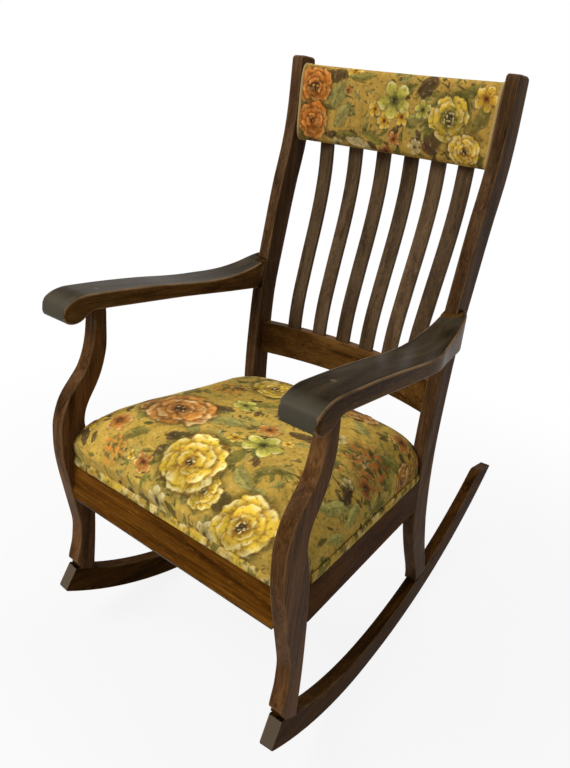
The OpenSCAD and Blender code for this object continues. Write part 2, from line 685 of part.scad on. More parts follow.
// Headrest: padding and cover that wrap the crest rail between the back posts
head_steps = 14;
head_sides = 24;
head_power = 4.5;
welt_t = 1.2;
welt_share = 0.022;
function head_ring(s, inset) = [for (k = [0:head_sides - 1]) let (f = 360 * k / head_sides,
    q = pow(pow(abs(cos(f)), head_power) + pow(abs(sin(f)), head_power), -1 / head_power),
    z = head_mid + q * sin(f) * (head_h / 2 - inset), x = s * (inner_x(z) - seat_gap),
    y0 = crest_y - head_pad + bow_at(x, inner_x(head_mid), head_bow),
    y1 = crest_y + rail_t + head_pad + bow_at(x, inner_x(head_mid), low_rail_bow))
    [x, (y0 + y1) / 2 + q * cos(f) * ((y1 - y0) / 2 - inset), z]];
module head_form(inset, s0 = -1, s1 = 1, steps = head_steps) {
    skin([for (k = [0:steps]) head_ring(s0 + (s1 - s0) * k / steps, inset)]);
}
module slat_cuts() { for (i = [0:slat_n - 1]) slat_bar(i, mortise_gap); }
module head_padding() {
    difference() {
        head_form(cloth_t + seat_gap);
        bowed_rail(crest_y - seat_gap, low_rail_bow, inner_x(head_mid), crest_under - seat_gap,
            head_h - 2 * head_pad + 2 * seat_gap, rail_t + 2 * seat_gap);
        slat_cuts();
    }
}
module head_cover() {
    difference() {
        head_form(0);
        head_form(cloth_t, -1 - welt_share, 1 + welt_share);
        slat_cuts();
    }
}
module head_welt() {
    difference() {
        head_form(-welt_t, 1 - welt_share, 1, 1);
        head_form(-seat_gap / 3, 1 - 2 * welt_share, 1 + welt_share, 1);
    }
}

oak = [0.32, 0.2, 0.11];
deal = [0.62, 0.5, 0.34];
steel = [0.55, 0.55, 0.57];
floral = [0.72, 0.58, 0.3];
jute = [0.6, 0.5, 0.32];
cream = [0.84, 0.78, 0.62];

module rocker_left() { color(oak) placed() rocker_piece(); }
module rocker_right() { color(oak) placed() mirror([1, 0, 0]) rocker_piece(); }
module front_post_left() { color(oak) placed() post_piece(); }
module front_post_right() { color(oak) placed() mirror([1, 0, 0]) post_piece(); }
module back_post_left() { color(oak) placed() stile_piece(); }
module back_post_right() { color(oak) placed() mirror([1, 0, 0]) stile_piece(); }
module arm_left() { color(oak) placed() arm_piece(); }
module arm_right() { color(oak) placed() mirror([1, 0, 0]) arm_piece(); }
module front_rail() { color(oak) placed() front_rail_piece(); }
module side_rail_left() { color(oak) placed() side_rail_piece(); }
module side_rail_right() { color(oak) placed() mirror([1, 0, 0]) side_rail_piece(); }
module rear_rail() { color(oak) placed() rear_rail_piece(); }
module lower_back_rail() { color(oak) placed() lower_back_rail_piece(); }
module crest_rail() { color(deal) placed() crest_rail_piece(); }
module back_slat(i) { color(oak) placed() slat_bar(i, 0); }
module corner_blocks() { color(deal) placed() blocks(); }
module rail_dowels() {
    color(deal) placed() mirrored_pair() {
        front_dowel_pair(0);
        side_dowel_pair(0);
        cross_dowels(0);
    }
}
module foot_dowels() { color(deal) placed() mirrored_pair() foot_dowel_pair(0); }
module arm_dowels() { color(deal) placed() mirrored_pair() arm_dowel(0); }
module arm_screws() { color(steel) placed() mirrored_pair() arm_screw(0); }
module arm_plugs() { color(oak) placed() mirrored_pair() arm_plug(0); }
module seat_webbing() {
    color(jute) placed() {
        long_straps();
        cross_straps();
    }
}
module webbing_tacks() { color(steel) placed() tacks(); }
module seat_springs() {
    color(steel) placed()
        for (i = [0:spring_n - 1], j = [0:spring_n - 1]) spring(spring_x(i), spring_y(j));
}
module spring_burlap() { color(jute) placed() shell(burlap_in, cloth_t); }
module seat_stuffing() { color(cream) placed() shell(stuffing_in, stuffing_t); }
module seat_cover() { color(floral) placed() shell(cover_in, cloth_t); }
module seat_border() { color(floral) placed() border_band(); }
module dust_cover() { color(jute) placed() dust_sheet(); }
module headrest_padding() { color(cream) placed() head_padding(); }
module headrest_cover() { color(floral) placed() head_cover(); }
module headrest_piping() { color(cream) placed() mirrored_pair() head_welt(); }

rocker_left();
rocker_right();
front_post_left();
front_post_right();
back_post_left();
back_post_right();
arm_left();
arm_right();
front_rail();
side_rail_left();
side_rail_right();
rear_rail();
lower_back_rail();
crest_rail();
back_slat(0);  // back_slat_1
back_slat(1);  // back_slat_2
back_slat(2);  // back_slat_3
back_slat(3);  // back_slat_4
back_slat(4);  // back_slat_5
back_slat(5);  // back_slat_6
corner_blocks();
rail_dowels();
foot_dowels();
arm_dowels();
arm_screws();
arm_plugs();
seat_webbing();
webbing_tacks();
seat_springs();
spring_burlap();
seat_stuffing();
seat_cover();
seat_border();
dust_cover();
headrest_padding();
headrest_cover();
headrest_piping();
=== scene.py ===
import math
import bpy
import numpy as np
from mathutils import Matrix, Vector


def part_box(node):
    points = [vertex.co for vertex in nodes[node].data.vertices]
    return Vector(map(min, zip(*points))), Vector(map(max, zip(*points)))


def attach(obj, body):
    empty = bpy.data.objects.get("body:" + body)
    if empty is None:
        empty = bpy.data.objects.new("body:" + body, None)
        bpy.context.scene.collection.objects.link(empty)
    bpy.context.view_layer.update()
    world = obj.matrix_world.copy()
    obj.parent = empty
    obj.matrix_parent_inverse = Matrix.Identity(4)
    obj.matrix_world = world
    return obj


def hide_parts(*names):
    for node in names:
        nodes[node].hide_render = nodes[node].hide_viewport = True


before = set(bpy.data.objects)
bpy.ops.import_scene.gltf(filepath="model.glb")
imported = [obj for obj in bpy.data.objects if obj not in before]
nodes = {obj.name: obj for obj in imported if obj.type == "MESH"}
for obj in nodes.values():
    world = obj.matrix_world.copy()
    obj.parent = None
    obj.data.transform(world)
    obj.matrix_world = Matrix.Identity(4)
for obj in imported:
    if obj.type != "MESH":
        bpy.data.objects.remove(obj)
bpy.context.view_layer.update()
scene = bpy.context.scene

# Sizes are in millimetres, with depth from the toe of the front posts
MM = 0.001
ARM_NOSE = 48.0
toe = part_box("arm_left")[0].y + ARM_NOSE * MM


def at_toe(x, y, z):
    """Millimetres with depth from the toe, to metres in the row frame."""
    return Vector((x * MM, toe + y * MM, z * MM))


def span(name, axis):
    """Lowest and highest place of a node along an axis."""
    lo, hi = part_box(name)
    start = toe if axis == 1 else 0.0
    return (lo[axis] - start) / MM, (hi[axis] - start) / MM


POST_T = 25.5
POST_H = 470.0
POST_Z = 105.8
BELLY = 38.0
STILE_T = 23.6
WAIST_HALF = 207.0
WAIST_Y = 378.0
FLARE = 0.02182
BAND = 3.0
COVER_IN = 3.3
SIDE_Y = 26.3
SIDE_SLOPE = 31.7 / 362.6
HALF_W = span("front_post_left", 0)[1]
RAIL_UNDER, RAIL_Z = span("front_rail", 2)
FRONT_Y = span("front_rail", 1)[0] - BAND
REAR_Y = span("rear_rail", 1)[1]
CROWN = span("seat_cover", 2)[1] - RAIL_Z + COVER_IN
SEAT_C = (FRONT_Y + REAR_Y) / 2
SEAT_R = (REAR_Y - FRONT_Y) / 2


def side_x(y):
    """Outer face of the side rails, which draw in towards the rear."""
    return HALF_W - SIDE_SLOPE * (y - SIDE_Y)


def inner_x(z):
    """Inner face of the back posts, which lean outwards."""
    return WAIST_HALF - STILE_T + FLARE * (z - RAIL_Z)


# Camera: fitted to the photograph, whose picture is 570 by 768
PHOTO_W, PHOTO_H = 570, 768
FOCAL_PX = 697.93
CENTRE_PX = (320.71, 311.84)
CAMERA_PLACE = (640.0, -640.4, 910.1)
CAMERA_RIGHT = (0.80207, 0.58278, 0.13057)
CAMERA_BACK = (0.5351, -0.79834, 0.27625)
SENSOR = 36.0


def add_object(name, data):
    obj = bpy.data.objects.new(name, data)
    scene.collection.objects.link(obj)
    return obj


def make_camera():
    data = bpy.data.cameras.new("camera")
    cam = add_object("camera", data)
    back = Vector(CAMERA_BACK).normalized()
    up = back.cross(Vector(CAMERA_RIGHT)).normalized()
    right = up.cross(back)
    rows = [(*turn, place) for turn, place in zip(zip(right, up, back), at_toe(*CAMERA_PLACE))]
    cam.matrix_world = Matrix((*rows, (0, 0, 0, 1)))
    data.sensor_width = SENSOR
    data.lens = FOCAL_PX * SENSOR / PHOTO_H
    data.shift_x = (PHOTO_W / 2 - CENTRE_PX[0]) / PHOTO_H
    data.shift_y = (CENTRE_PX[1] - PHOTO_H / 2) / PHOTO_H
    data.clip_start = 0.01
    data.clip_end = 80
    scene.camera = cam


make_camera()
scene.view_settings.view_transform = "Standard"


# Light: a soft studio
def area_light(name, place, target, size, power):
    data = bpy.data.lights.new(name, "AREA")
    data.shape = "DISK"
    data.size = size
    data.energy = power
    lamp = add_object(name, data)
    lamp.location = place
    lamp.rotation_mode = "QUATERNION"
    lamp.rotation_quaternion = (Vector(target) - Vector(place)).to_track_quat("-Z", "Y")


area_light("key", (-1.5, -2.2, 2.3), (0, -0.1, 0.45), 1.6, 78)
area_light("fill", (2.2, -1.4, 1.4), (0, 0, 0.4), 1.6, 2)
area_light("top", (0.1, 0.5, 2.7), (0, 0, 0.4), 1.4, 26)


def plug_in(tree, socket, v):
    """Links a socket to another one, or sets its value."""
    if isinstance(v, bpy.types.NodeSocket):
        tree.links.new(v, socket)
    else:
        socket.default_value = v


def add(tree, kind, *values, **settings):
    """Adds a node with its settings, plugs values in its sockets and gives its first output."""
    n = tree.nodes.new(kind)
    for key, v in settings.items():
        setattr(n, key, v)
    for socket, v in zip(n.inputs, values):
        plug_in(tree, socket, v)
    return n.outputs[0]


def calc(tree, op, *values):
    return add(tree, "ShaderNodeMath", *values, operation=op)


def surround_rays(tree):
    """1 for rays that show the plain white surround: from the camera, a gloss or a glass."""
    path = tree.nodes.new("ShaderNodeLightPath")
    seen = path.outputs["Is Camera Ray"]
    for ray in ("Is Glossy Ray", "Is Transmission Ray"):
        seen = calc(tree, "MAXIMUM", seen, path.outputs[ray])
    return seen


class Tree:
    """Short names for adding nodes to a material."""

    def __init__(self, name):
        self.mat = bpy.data.materials.new(name)
        self.mat.use_nodes = True
        self.t = self.mat.node_tree
        self.t.nodes.clear()
        self.out = self.t.nodes.new("ShaderNodeOutputMaterial")
        self.bsdf = self.t.nodes.new("ShaderNodeBsdfPrincipled")
        self.t.links.new(self.bsdf.outputs[0], self.out.inputs[0])
        self.coord = self.t.nodes.new("ShaderNodeTexCoord")

    def node(self, kind, **inputs):
        """Adds a node with values or links on its sockets and gives its first output."""
        n = self.t.nodes.new(kind)
        for k, v in inputs.items():
            plug_in(self.t, n.inputs[k], v)
        return n.outputs[0]

    def set(self, **inputs):
        """Puts values or links on the shader's sockets, with _ for a space in their names."""
        for k, v in inputs.items():
            plug_in(self.t, self.bsdf.inputs[k.replace("_", " ")], v)

    def mapped(self, scale=(1, 1, 1), place=(0, 0, 0)):
        return self.node("ShaderNodeMapping", Vector=self.coord.outputs["Object"], Scale=scale,
                         Location=place)

    def noise(self, vector, scale, detail=4.0, rough=0.55, distortion=0.0):
        return self.node("ShaderNodeTexNoise", Vector=vector, Scale=scale, Detail=detail,
                         Roughness=rough, Distortion=distortion)

    def ramp(self, factor, stops):
        n = self.t.nodes.new("ShaderNodeValToRGB")
        self.t.links.new(factor, n.inputs[0])
        e = n.color_ramp.elements
        while len(e) < len(stops):
            e.new(0.5)
        for el, (place, colour) in zip(e, stops):
            el.position = place
            el.color = (*colour, 1)
        return n.outputs[0]

    def grey(self, factor, stops):
        return self.ramp(factor, [(p, (v, v, v)) for p, v in stops])

    def mix(self, factor, a, b, kind="MIX"):
        n = add(self.t, "ShaderNodeMix", factor, data_type="RGBA", blend_type=kind).node
        for socket, v in zip(n.inputs[6:8], (a, b)):
            plug_in(self.t, socket, (*v, 1) if isinstance(v, tuple) else v)
        return n.outputs[2]

    def math(self, op, *values):
        return calc(self.t, op, *values)

    def facing(self, axis, way):
        """How far the surface faces one way along an axis, from -1 to 1."""
        parts = add(self.t, "ShaderNodeSeparateXYZ", self.coord.outputs["Normal"]).node
        return self.math("MULTIPLY", parts.outputs[axis], way)

    def weave(self, thin, scale, detail, rough=0.55):
        """A plain weave: noise drawn out along one axis and along the other."""
        warp = self.noise(self.mapped((1, thin, 1)), scale, detail, rough)
        weft = self.noise(self.mapped((thin, 1, 1)), scale, detail, rough)
        return self.math("MULTIPLY", self.math("ADD", warp, weft), 0.5)

    def bump(self, height, strength, distance, **more):
        return self.node("ShaderNodeBump", Height=height, Strength=strength, Distance=distance, **more)


def scaled(colour, share):
    return tuple(c * share for c in colour)


# Wood: tones where it is worn at edges, scuffed and blackened by hands, and a painted highlight in grey
# where the arms face forward
WORN = (0.24, 0.145, 0.07)
PAINTED_HIGHLIGHT = (0.066, 0.059, 0.04)
SCUFFED = (0.11, 0.085, 0.058)
BLACKENED = ((0.012, 0.008, 0.004), (0.03, 0.02, 0.01), (0.058, 0.04, 0.021))


def oak(name, grain, tones, roughness, worn=0.0, shift=0.0, shine=0.1, kind=""):
    """Stained oak whose grain runs along one axis: figure, flecks, pores and uneven stain."""
    m = Tree(name)
    dark, mid, light = tones
    figure_scale, fleck_scale, pore_scale = [1.0] * 3, [1.0] * 3, [1.0] * 3
    figure_scale[grain] = 0.08
    fleck_scale[grain] = 0.22
    pore_scale[grain] = 0.03
    figure = m.noise(m.mapped(figure_scale, (shift, shift * 2, shift * 3)), 46, 5, 0.6, 0.7)
    flecks = m.noise(m.mapped(fleck_scale, (shift, 0, 0)), 260, 3, 0.6)
    pores = m.noise(m.mapped(pore_scale, (0, shift, 0)), 520, 3, 0.65)
    patch = m.noise(m.mapped(place=(0, shift, 0)), 8, 4, 0.6)
    tone = m.ramp(figure, [(0.3, dark), (0.5, mid), (0.72, light)])
    tone = m.mix(m.grey(flecks, [(0.56, 0.0), (0.7, 0.5)]), tone, scaled(light, 1.3))
    tone = m.mix(m.grey(pores, [(0.36, 0.6), (0.5, 0.0)]), tone, scaled(dark, 0.5))
    tone = m.mix(m.grey(patch, [(0.34, 0.35), (0.6, 0.0)]), tone, dark)
    if kind == "arm":
        sides = m.math("ABSOLUTE", m.facing(0, 1.0))
        upper = m.ramp(figure, list(zip((0.3, 0.5, 0.72), BLACKENED)))
        # Painted highlight: the faces of the arms that point forward, round the nose, turn a lighter grey
        upper = m.mix(m.grey(m.facing(1, -1.0), [(0.25, 0.0), (0.6, 0.85)]), upper, PAINTED_HIGHLIGHT)
        tone = m.mix(m.grey(sides, [(0.3, 0.0), (0.6, 1.0)]), upper, tone)
    if kind == "rocker":
        tone = m.mix(m.grey(m.facing(1, -1.0), [(0.6, 0.0), (0.8, 0.9)]), tone, SCUFFED)
    if worn:
        rub = m.noise(m.mapped(fleck_scale, (shift, 0.3, 0)), 60, 4, 0.6)
        tone = m.mix(m.grey(rub, [(0.38, 0.25 * worn), (0.6, worn)]), tone, WORN)
    height = m.bump(figure, 0.1, 0.0008, Normal=m.bump(pores, 0.22, 0.0004))
    m.set(Base_Color=tone, Normal=height, Specular_IOR_Level=shine, Specular_Tint=(1.0, 0.86, 0.7, 1),
          Roughness=m.grey(patch, [(0.3, roughness - 0.04), (0.7, roughness + 0.08)]))
    return m.mat


# Rounding of the most worn ends, and the bend in degrees from which an edge is a sharp one
ROUND = 3.6
SHARP = 32.0
# Points closer than this are one, and faces that bend less in degrees are one
WELD = 0.25
FLAT = 0.3


def away_from(tree, boxes):
    """1 for edges outside every box given as lowest and highest corner in metres, else 0."""
    place = add(tree, "GeometryNodeInputPosition")
    free = 1.0
    for lo, hi in boxes:
        at = add(tree, "ShaderNodeVectorMath", place, (lo + hi) / 2, operation="SUBTRACT")
        at = add(tree, "ShaderNodeVectorMath", at, operation="ABSOLUTE")
        at = add(tree, "ShaderNodeVectorMath", at, (hi - lo) / 2, operation="SUBTRACT")
        x, y, z = add(tree, "ShaderNodeSeparateXYZ", at).node.outputs
        most = calc(tree, "MAXIMUM", calc(tree, "MAXIMUM", x, y), z)
        free = calc(tree, "MULTIPLY", free, calc(tree, "GREATER_THAN", most, 0.0))
    return free


def edge_weights(name, boxes, share, ends):
    """Geometry nodes that mark the sharp edges to round: more at the ends, none at the joints."""
    tree = bpy.data.node_groups.new(name, "GeometryNodeTree")
    for way in ("INPUT", "OUTPUT"):
        tree.interface.new_socket("Geometry", in_out=way, socket_type="NodeSocketGeometry")
    start = add(tree, "NodeGroupInput")
    bend = add(tree, "GeometryNodeInputMeshEdgeAngle")
    sharp = calc(tree, "GREATER_THAN", bend, math.radians(SHARP))
    full = calc(tree, "MULTIPLY_ADD", away_from(tree, ends), share - 1.0, 1.0) if ends else share
    weight = calc(tree, "MULTIPLY", calc(tree, "MULTIPLY", sharp, away_from(tree, boxes)), full)
    marked = add(tree, "GeometryNodeStoreNamedAttribute", start, True, "bevel_weight_edge", weight,
                 data_type="FLOAT", domain="EDGE")
    tree.links.new(marked, tree.nodes.new("NodeGroupOutput").inputs[0])
    return tree


def modify(obj, name, kind, **settings):
    """Adds a modifier with its settings."""
    added = obj.modifiers.new(name, kind)
    for key, v in settings.items():
        setattr(added, key, v)


def ease(node, width, joints, ends):
    """Rounds the sawn edges of a CAD node with modifiers; the rounded strip gets worn finish."""
    modify(node, "weld", "WELD", merge_threshold=WELD * MM)
    modify(node, "flat", "DECIMATE", decimate_type="DISSOLVE", angle_limit=math.radians(FLAT))
    modify(node, "mark", "NODES",
           node_group=edge_weights(node.name + "_edges", joints, width / ROUND, ends))
    modify(node, "ease", "BEVEL", width=ROUND * MM, segments=3, limit_method="WEIGHT",
           use_clamp_overlap=False, material=1, miter_outer="MITER_ARC")
    for p in node.data.polygons:
        p.use_smooth = True
    modify(node, "shade", "WEIGHTED_NORMAL", keep_sharp=False)


# Joints and worn ends, whose boxes reach FAR where they have no bound of their own
FAR = 2000.0
ARM_Z = POST_Z + POST_H
HEEL = (465.0, 516.0)
FOOT = (-2.0, 42.0)
FOOT_Z = 84.0
HEEL_LOW, HEEL_HIGH = 40.0, 76.0
FOOT_HIGH = POST_Z + 5.0
TOE_EDGE = 6.0
ARM_SUNK = 14.0
TOP_EDGE = 2.0
PLUG = (HALF_W - POST_T / 2, 0.68 * BELLY)
PLUG_CLEAR = 9.0
LAP_CLEAR = 4.0


def block(x=(-FAR, FAR), y=(-FAR, FAR), z=(0, FAR)):
    """Lowest and highest corner of a box, from its bounds."""
    return at_toe(x[0], y[0], z[0]), at_toe(x[1], y[1], z[1])


def plug_blocks():
    (x, y), r = PLUG, PLUG_CLEAR
    return [block((s * x - r, s * x + r), (y - r, y + r)) for s in (-1, 1)]


def lap_blocks():
    """Where the arms lap the back posts."""
    inner = inner_x(ARM_Z) - LAP_CLEAR
    outer = inner_x(ARM_Z) + STILE_T + LAP_CLEAR
    return [block(x, (WAIST_Y - LAP_CLEAR, FAR)) for x in ((-outer, -inner), (inner, outer))]


foot_joint = block(y=(TOE_EDGE, FAR), z=(0, FOOT_HIGH))
toe_end = block(y=(-FAR, TOE_EDGE), z=(0, FOOT_HIGH))
post_top = block(z=(span("back_post_left", 2)[1] - TOP_EDGE, FAR))
arm_joint = block(z=(ARM_Z - ARM_SUNK, FAR))
heel_joint = block(z=(0, HEEL_HIGH))
rocker_joints = [block(y=FOOT, z=(FOOT_Z, FAR)), block(y=HEEL, z=(HEEL_LOW, FAR))]

# Start of a name: axis of the grain, dark, mid and light tone, roughness, wear of the edges, shine,
# width of the rounded edges, joints, worn ends
PIECES = {
    "arm": (1, ((0.024, 0.01, 0.002), (0.092, 0.042, 0.01), (0.16, 0.078, 0.022)),
            0.27, 0.85, 0.022, 2.6, plug_blocks() + lap_blocks(), []),
    "rocker": (1, ((0.014, 0.005, 0.001), (0.048, 0.019, 0.003), (0.088, 0.037, 0.008)),
               0.46, 0.4, 0.008, 1.6, rocker_joints, []),
    "front_post": (2, ((0.022, 0.008, 0.0015), (0.1, 0.042, 0.012), (0.175, 0.08, 0.028)),
                   0.4, 0.45, 0.03, 2.2, [foot_joint, arm_joint], [toe_end]),
    "back_post": (2, ((0.02, 0.008, 0.002), (0.082, 0.04, 0.016), (0.145, 0.075, 0.034)),
                  0.42, 0.4, 0.02, 2.4, [heel_joint], [post_top]),
    "side_rail": (1, ((0.018, 0.005, 0.001), (0.06, 0.021, 0.002), (0.095, 0.036, 0.005)),
                  0.48, 0.15, 0.008, 1.2, [], []),
    "front_rail": (0, ((0.04, 0.013, 0.001), (0.135, 0.047, 0.004), (0.225, 0.09, 0.011)),
                   0.5, 0.2, 0.008, 1.4, [], []),
    "rear_rail": (0, ((0.022, 0.007, 0.001), (0.078, 0.028, 0.003), (0.135, 0.052, 0.007)),
                  0.48, 0.15, 0.008, 1.2, [], []),
    "lower_back": (0, ((0.036, 0.014, 0.002), (0.11, 0.048, 0.01), (0.19, 0.088, 0.022)),
                   0.44, 0.2, 0.03, 1.2, [], []),
    "back_slat": (2, ((0.046, 0.026, 0.012), (0.105, 0.062, 0.03), (0.15, 0.094, 0.05)),
                  0.44, 0.25, 0.04, 1.2, [], []),
}
SLAT_TONES = (0.85, 0.95, 0.8, 0.9, 1.2, 0.9)
ARM_FIXINGS = ("arm_plugs", "arm_screws", "arm_dowels")


def finish_wood():
    shift = 0.0
    for name in sorted(set(nodes) - set(ARM_FIXINGS)):
        kind = next((k for k in PIECES if name.startswith(k)), None)
        if kind is None:
            continue
        shift += 0.37
        grain, tones, roughness, worn, shine, width, joints, ends = PIECES[kind]
        if kind == "back_slat":
            tones = [scaled(c, SLAT_TONES[int(name[-1]) - 1]) for c in tones]
        node = nodes[name]
        node.data.materials.clear()
        for part, rub in (("_oak", 0.0), ("_edge", worn)):
            wood = oak(name + part, grain, tones, roughness, rub, shift, shine, kind)
            node.data.materials.append(wood)
        ease(node, width, joints, ends)


finish_wood()


def cover_with(names, material):
    for name in names:
        nodes[name].data.materials.clear()
        nodes[name].data.materials.append(material)


def steel(name):
    m = Tree(name)
    scratch = m.noise(m.mapped(), 300, 4)
    m.set(Base_Color=m.ramp(scratch, [(0.3, (0.2, 0.19, 0.18)), (0.7, (0.45, 0.44, 0.42))]),
          Metallic=1.0, Roughness=m.grey(scratch, [(0.3, 0.3), (0.7, 0.55)]))
    return m.mat


cover_with(("crest_rail", "corner_blocks", "rail_dowels", "foot_dowels", "arm_dowels"),
           oak("bare_wood", 0, ((0.2, 0.12, 0.06), (0.3, 0.2, 0.11), (0.4, 0.28, 0.17)), 0.6))
cover_with(("arm_plugs",), oak("plug_end_grain", 2, BLACKENED, 0.4, 0.3))
cover_with(("arm_screws", "webbing_tacks", "seat_springs"), steel("drawn_steel"))


# Cloth: the print is computed for each point of a fine mesh
NOISE_SEED = 7
NOISE_N = 256
noise_order = np.random.RandomState(NOISE_SEED).permutation(NOISE_N)
noise_ways = np.random.RandomState(NOISE_SEED).normal(size=(NOISE_N, 2))
noise_ways /= np.linalg.norm(noise_ways, axis=1)[:, None]


def noise2(p, scale, seed):
    """Gradient noise in two dimensions, from about -1 to 1."""
    q = p * scale + seed * 17.31
    i = np.floor(q).astype(int)
    f = q - i
    w = f * f * f * (f * (f * 6 - 15) + 10)
    total = 0
    for dx in (0, 1):
        for dy in (0, 1):
            row = noise_order[(i[:, 0] + dx) % NOISE_N] + i[:, 1] + dy
            g = noise_ways[noise_order[row % NOISE_N]]
            d = (g * (f - (dx, dy))).sum(1)
            wx = w[:, 0] if dx else 1 - w[:, 0]
            wy = w[:, 1] if dy else 1 - w[:, 1]
            total = total + d * wx * wy
    return total * 1.5


def fbm(p, scale, seed, octaves=4):
    """Noise with finer noise on it."""
    return sum(noise2(p, scale * 2 ** k, seed + k) * 0.5 ** k for k in range(octaves))


def step(lo, hi, x):
    """0 before lo, 1 after hi and a smooth rise between, or a fall where lo is above hi."""
    t = np.clip((x - lo) / (hi - lo), 0, 1)
    return t * t * (3 - 2 * t)


def rgb(*c):
    return np.array(c)


INK = rgb(0.055, 0.034, 0.012)
BROWN = rgb(0.055, 0.028, 0.014)
OLIVE = rgb(0.17, 0.15, 0.028)
SAGE = rgb(0.3, 0.28, 0.075)
MOSS = rgb(0.21, 0.2, 0.035)
GROUND = rgb(0.5, 0.325, 0.056)
CREAM = rgb(0.82, 0.68, 0.3)
RUST = rgb(0.27, 0.085, 0.016)
ORANGE = rgb(0.55, 0.2, 0.028)
YELLOW = rgb(0.76, 0.52, 0.04)
# Flowers: tone at the root of a petal, at its tip and on its hem
YELLOW_ROSE = rgb((0.42, 0.17, 0.015), (0.78, 0.53, 0.05), (0.92, 0.8, 0.36))
ORANGE_ROSE = rgb((0.2, 0.06, 0.012), (0.6, 0.25, 0.045), (0.86, 0.62, 0.26))
DEEP_ORANGE = rgb((0.14, 0.035, 0.008), (0.66, 0.22, 0.025), (0.84, 0.46, 0.12))
LEMON_BLOOM = rgb((0.16, 0.16, 0.03), (0.6, 0.54, 0.08), (0.84, 0.78, 0.34))
CREAM_BLOOM = rgb((0.34, 0.25, 0.07), (0.68, 0.54, 0.21), (0.88, 0.78, 0.44))
RUSTY = rgb((0.12, 0.04, 0.012), (0.4, 0.14, 0.025), (0.62, 0.34, 0.11))


# All points of a cloth
EVERY = slice(None)


def metres(*sizes):
    """Sizes on the cloth, from millimetres to metres."""
    return np.array(sizes) / 1000


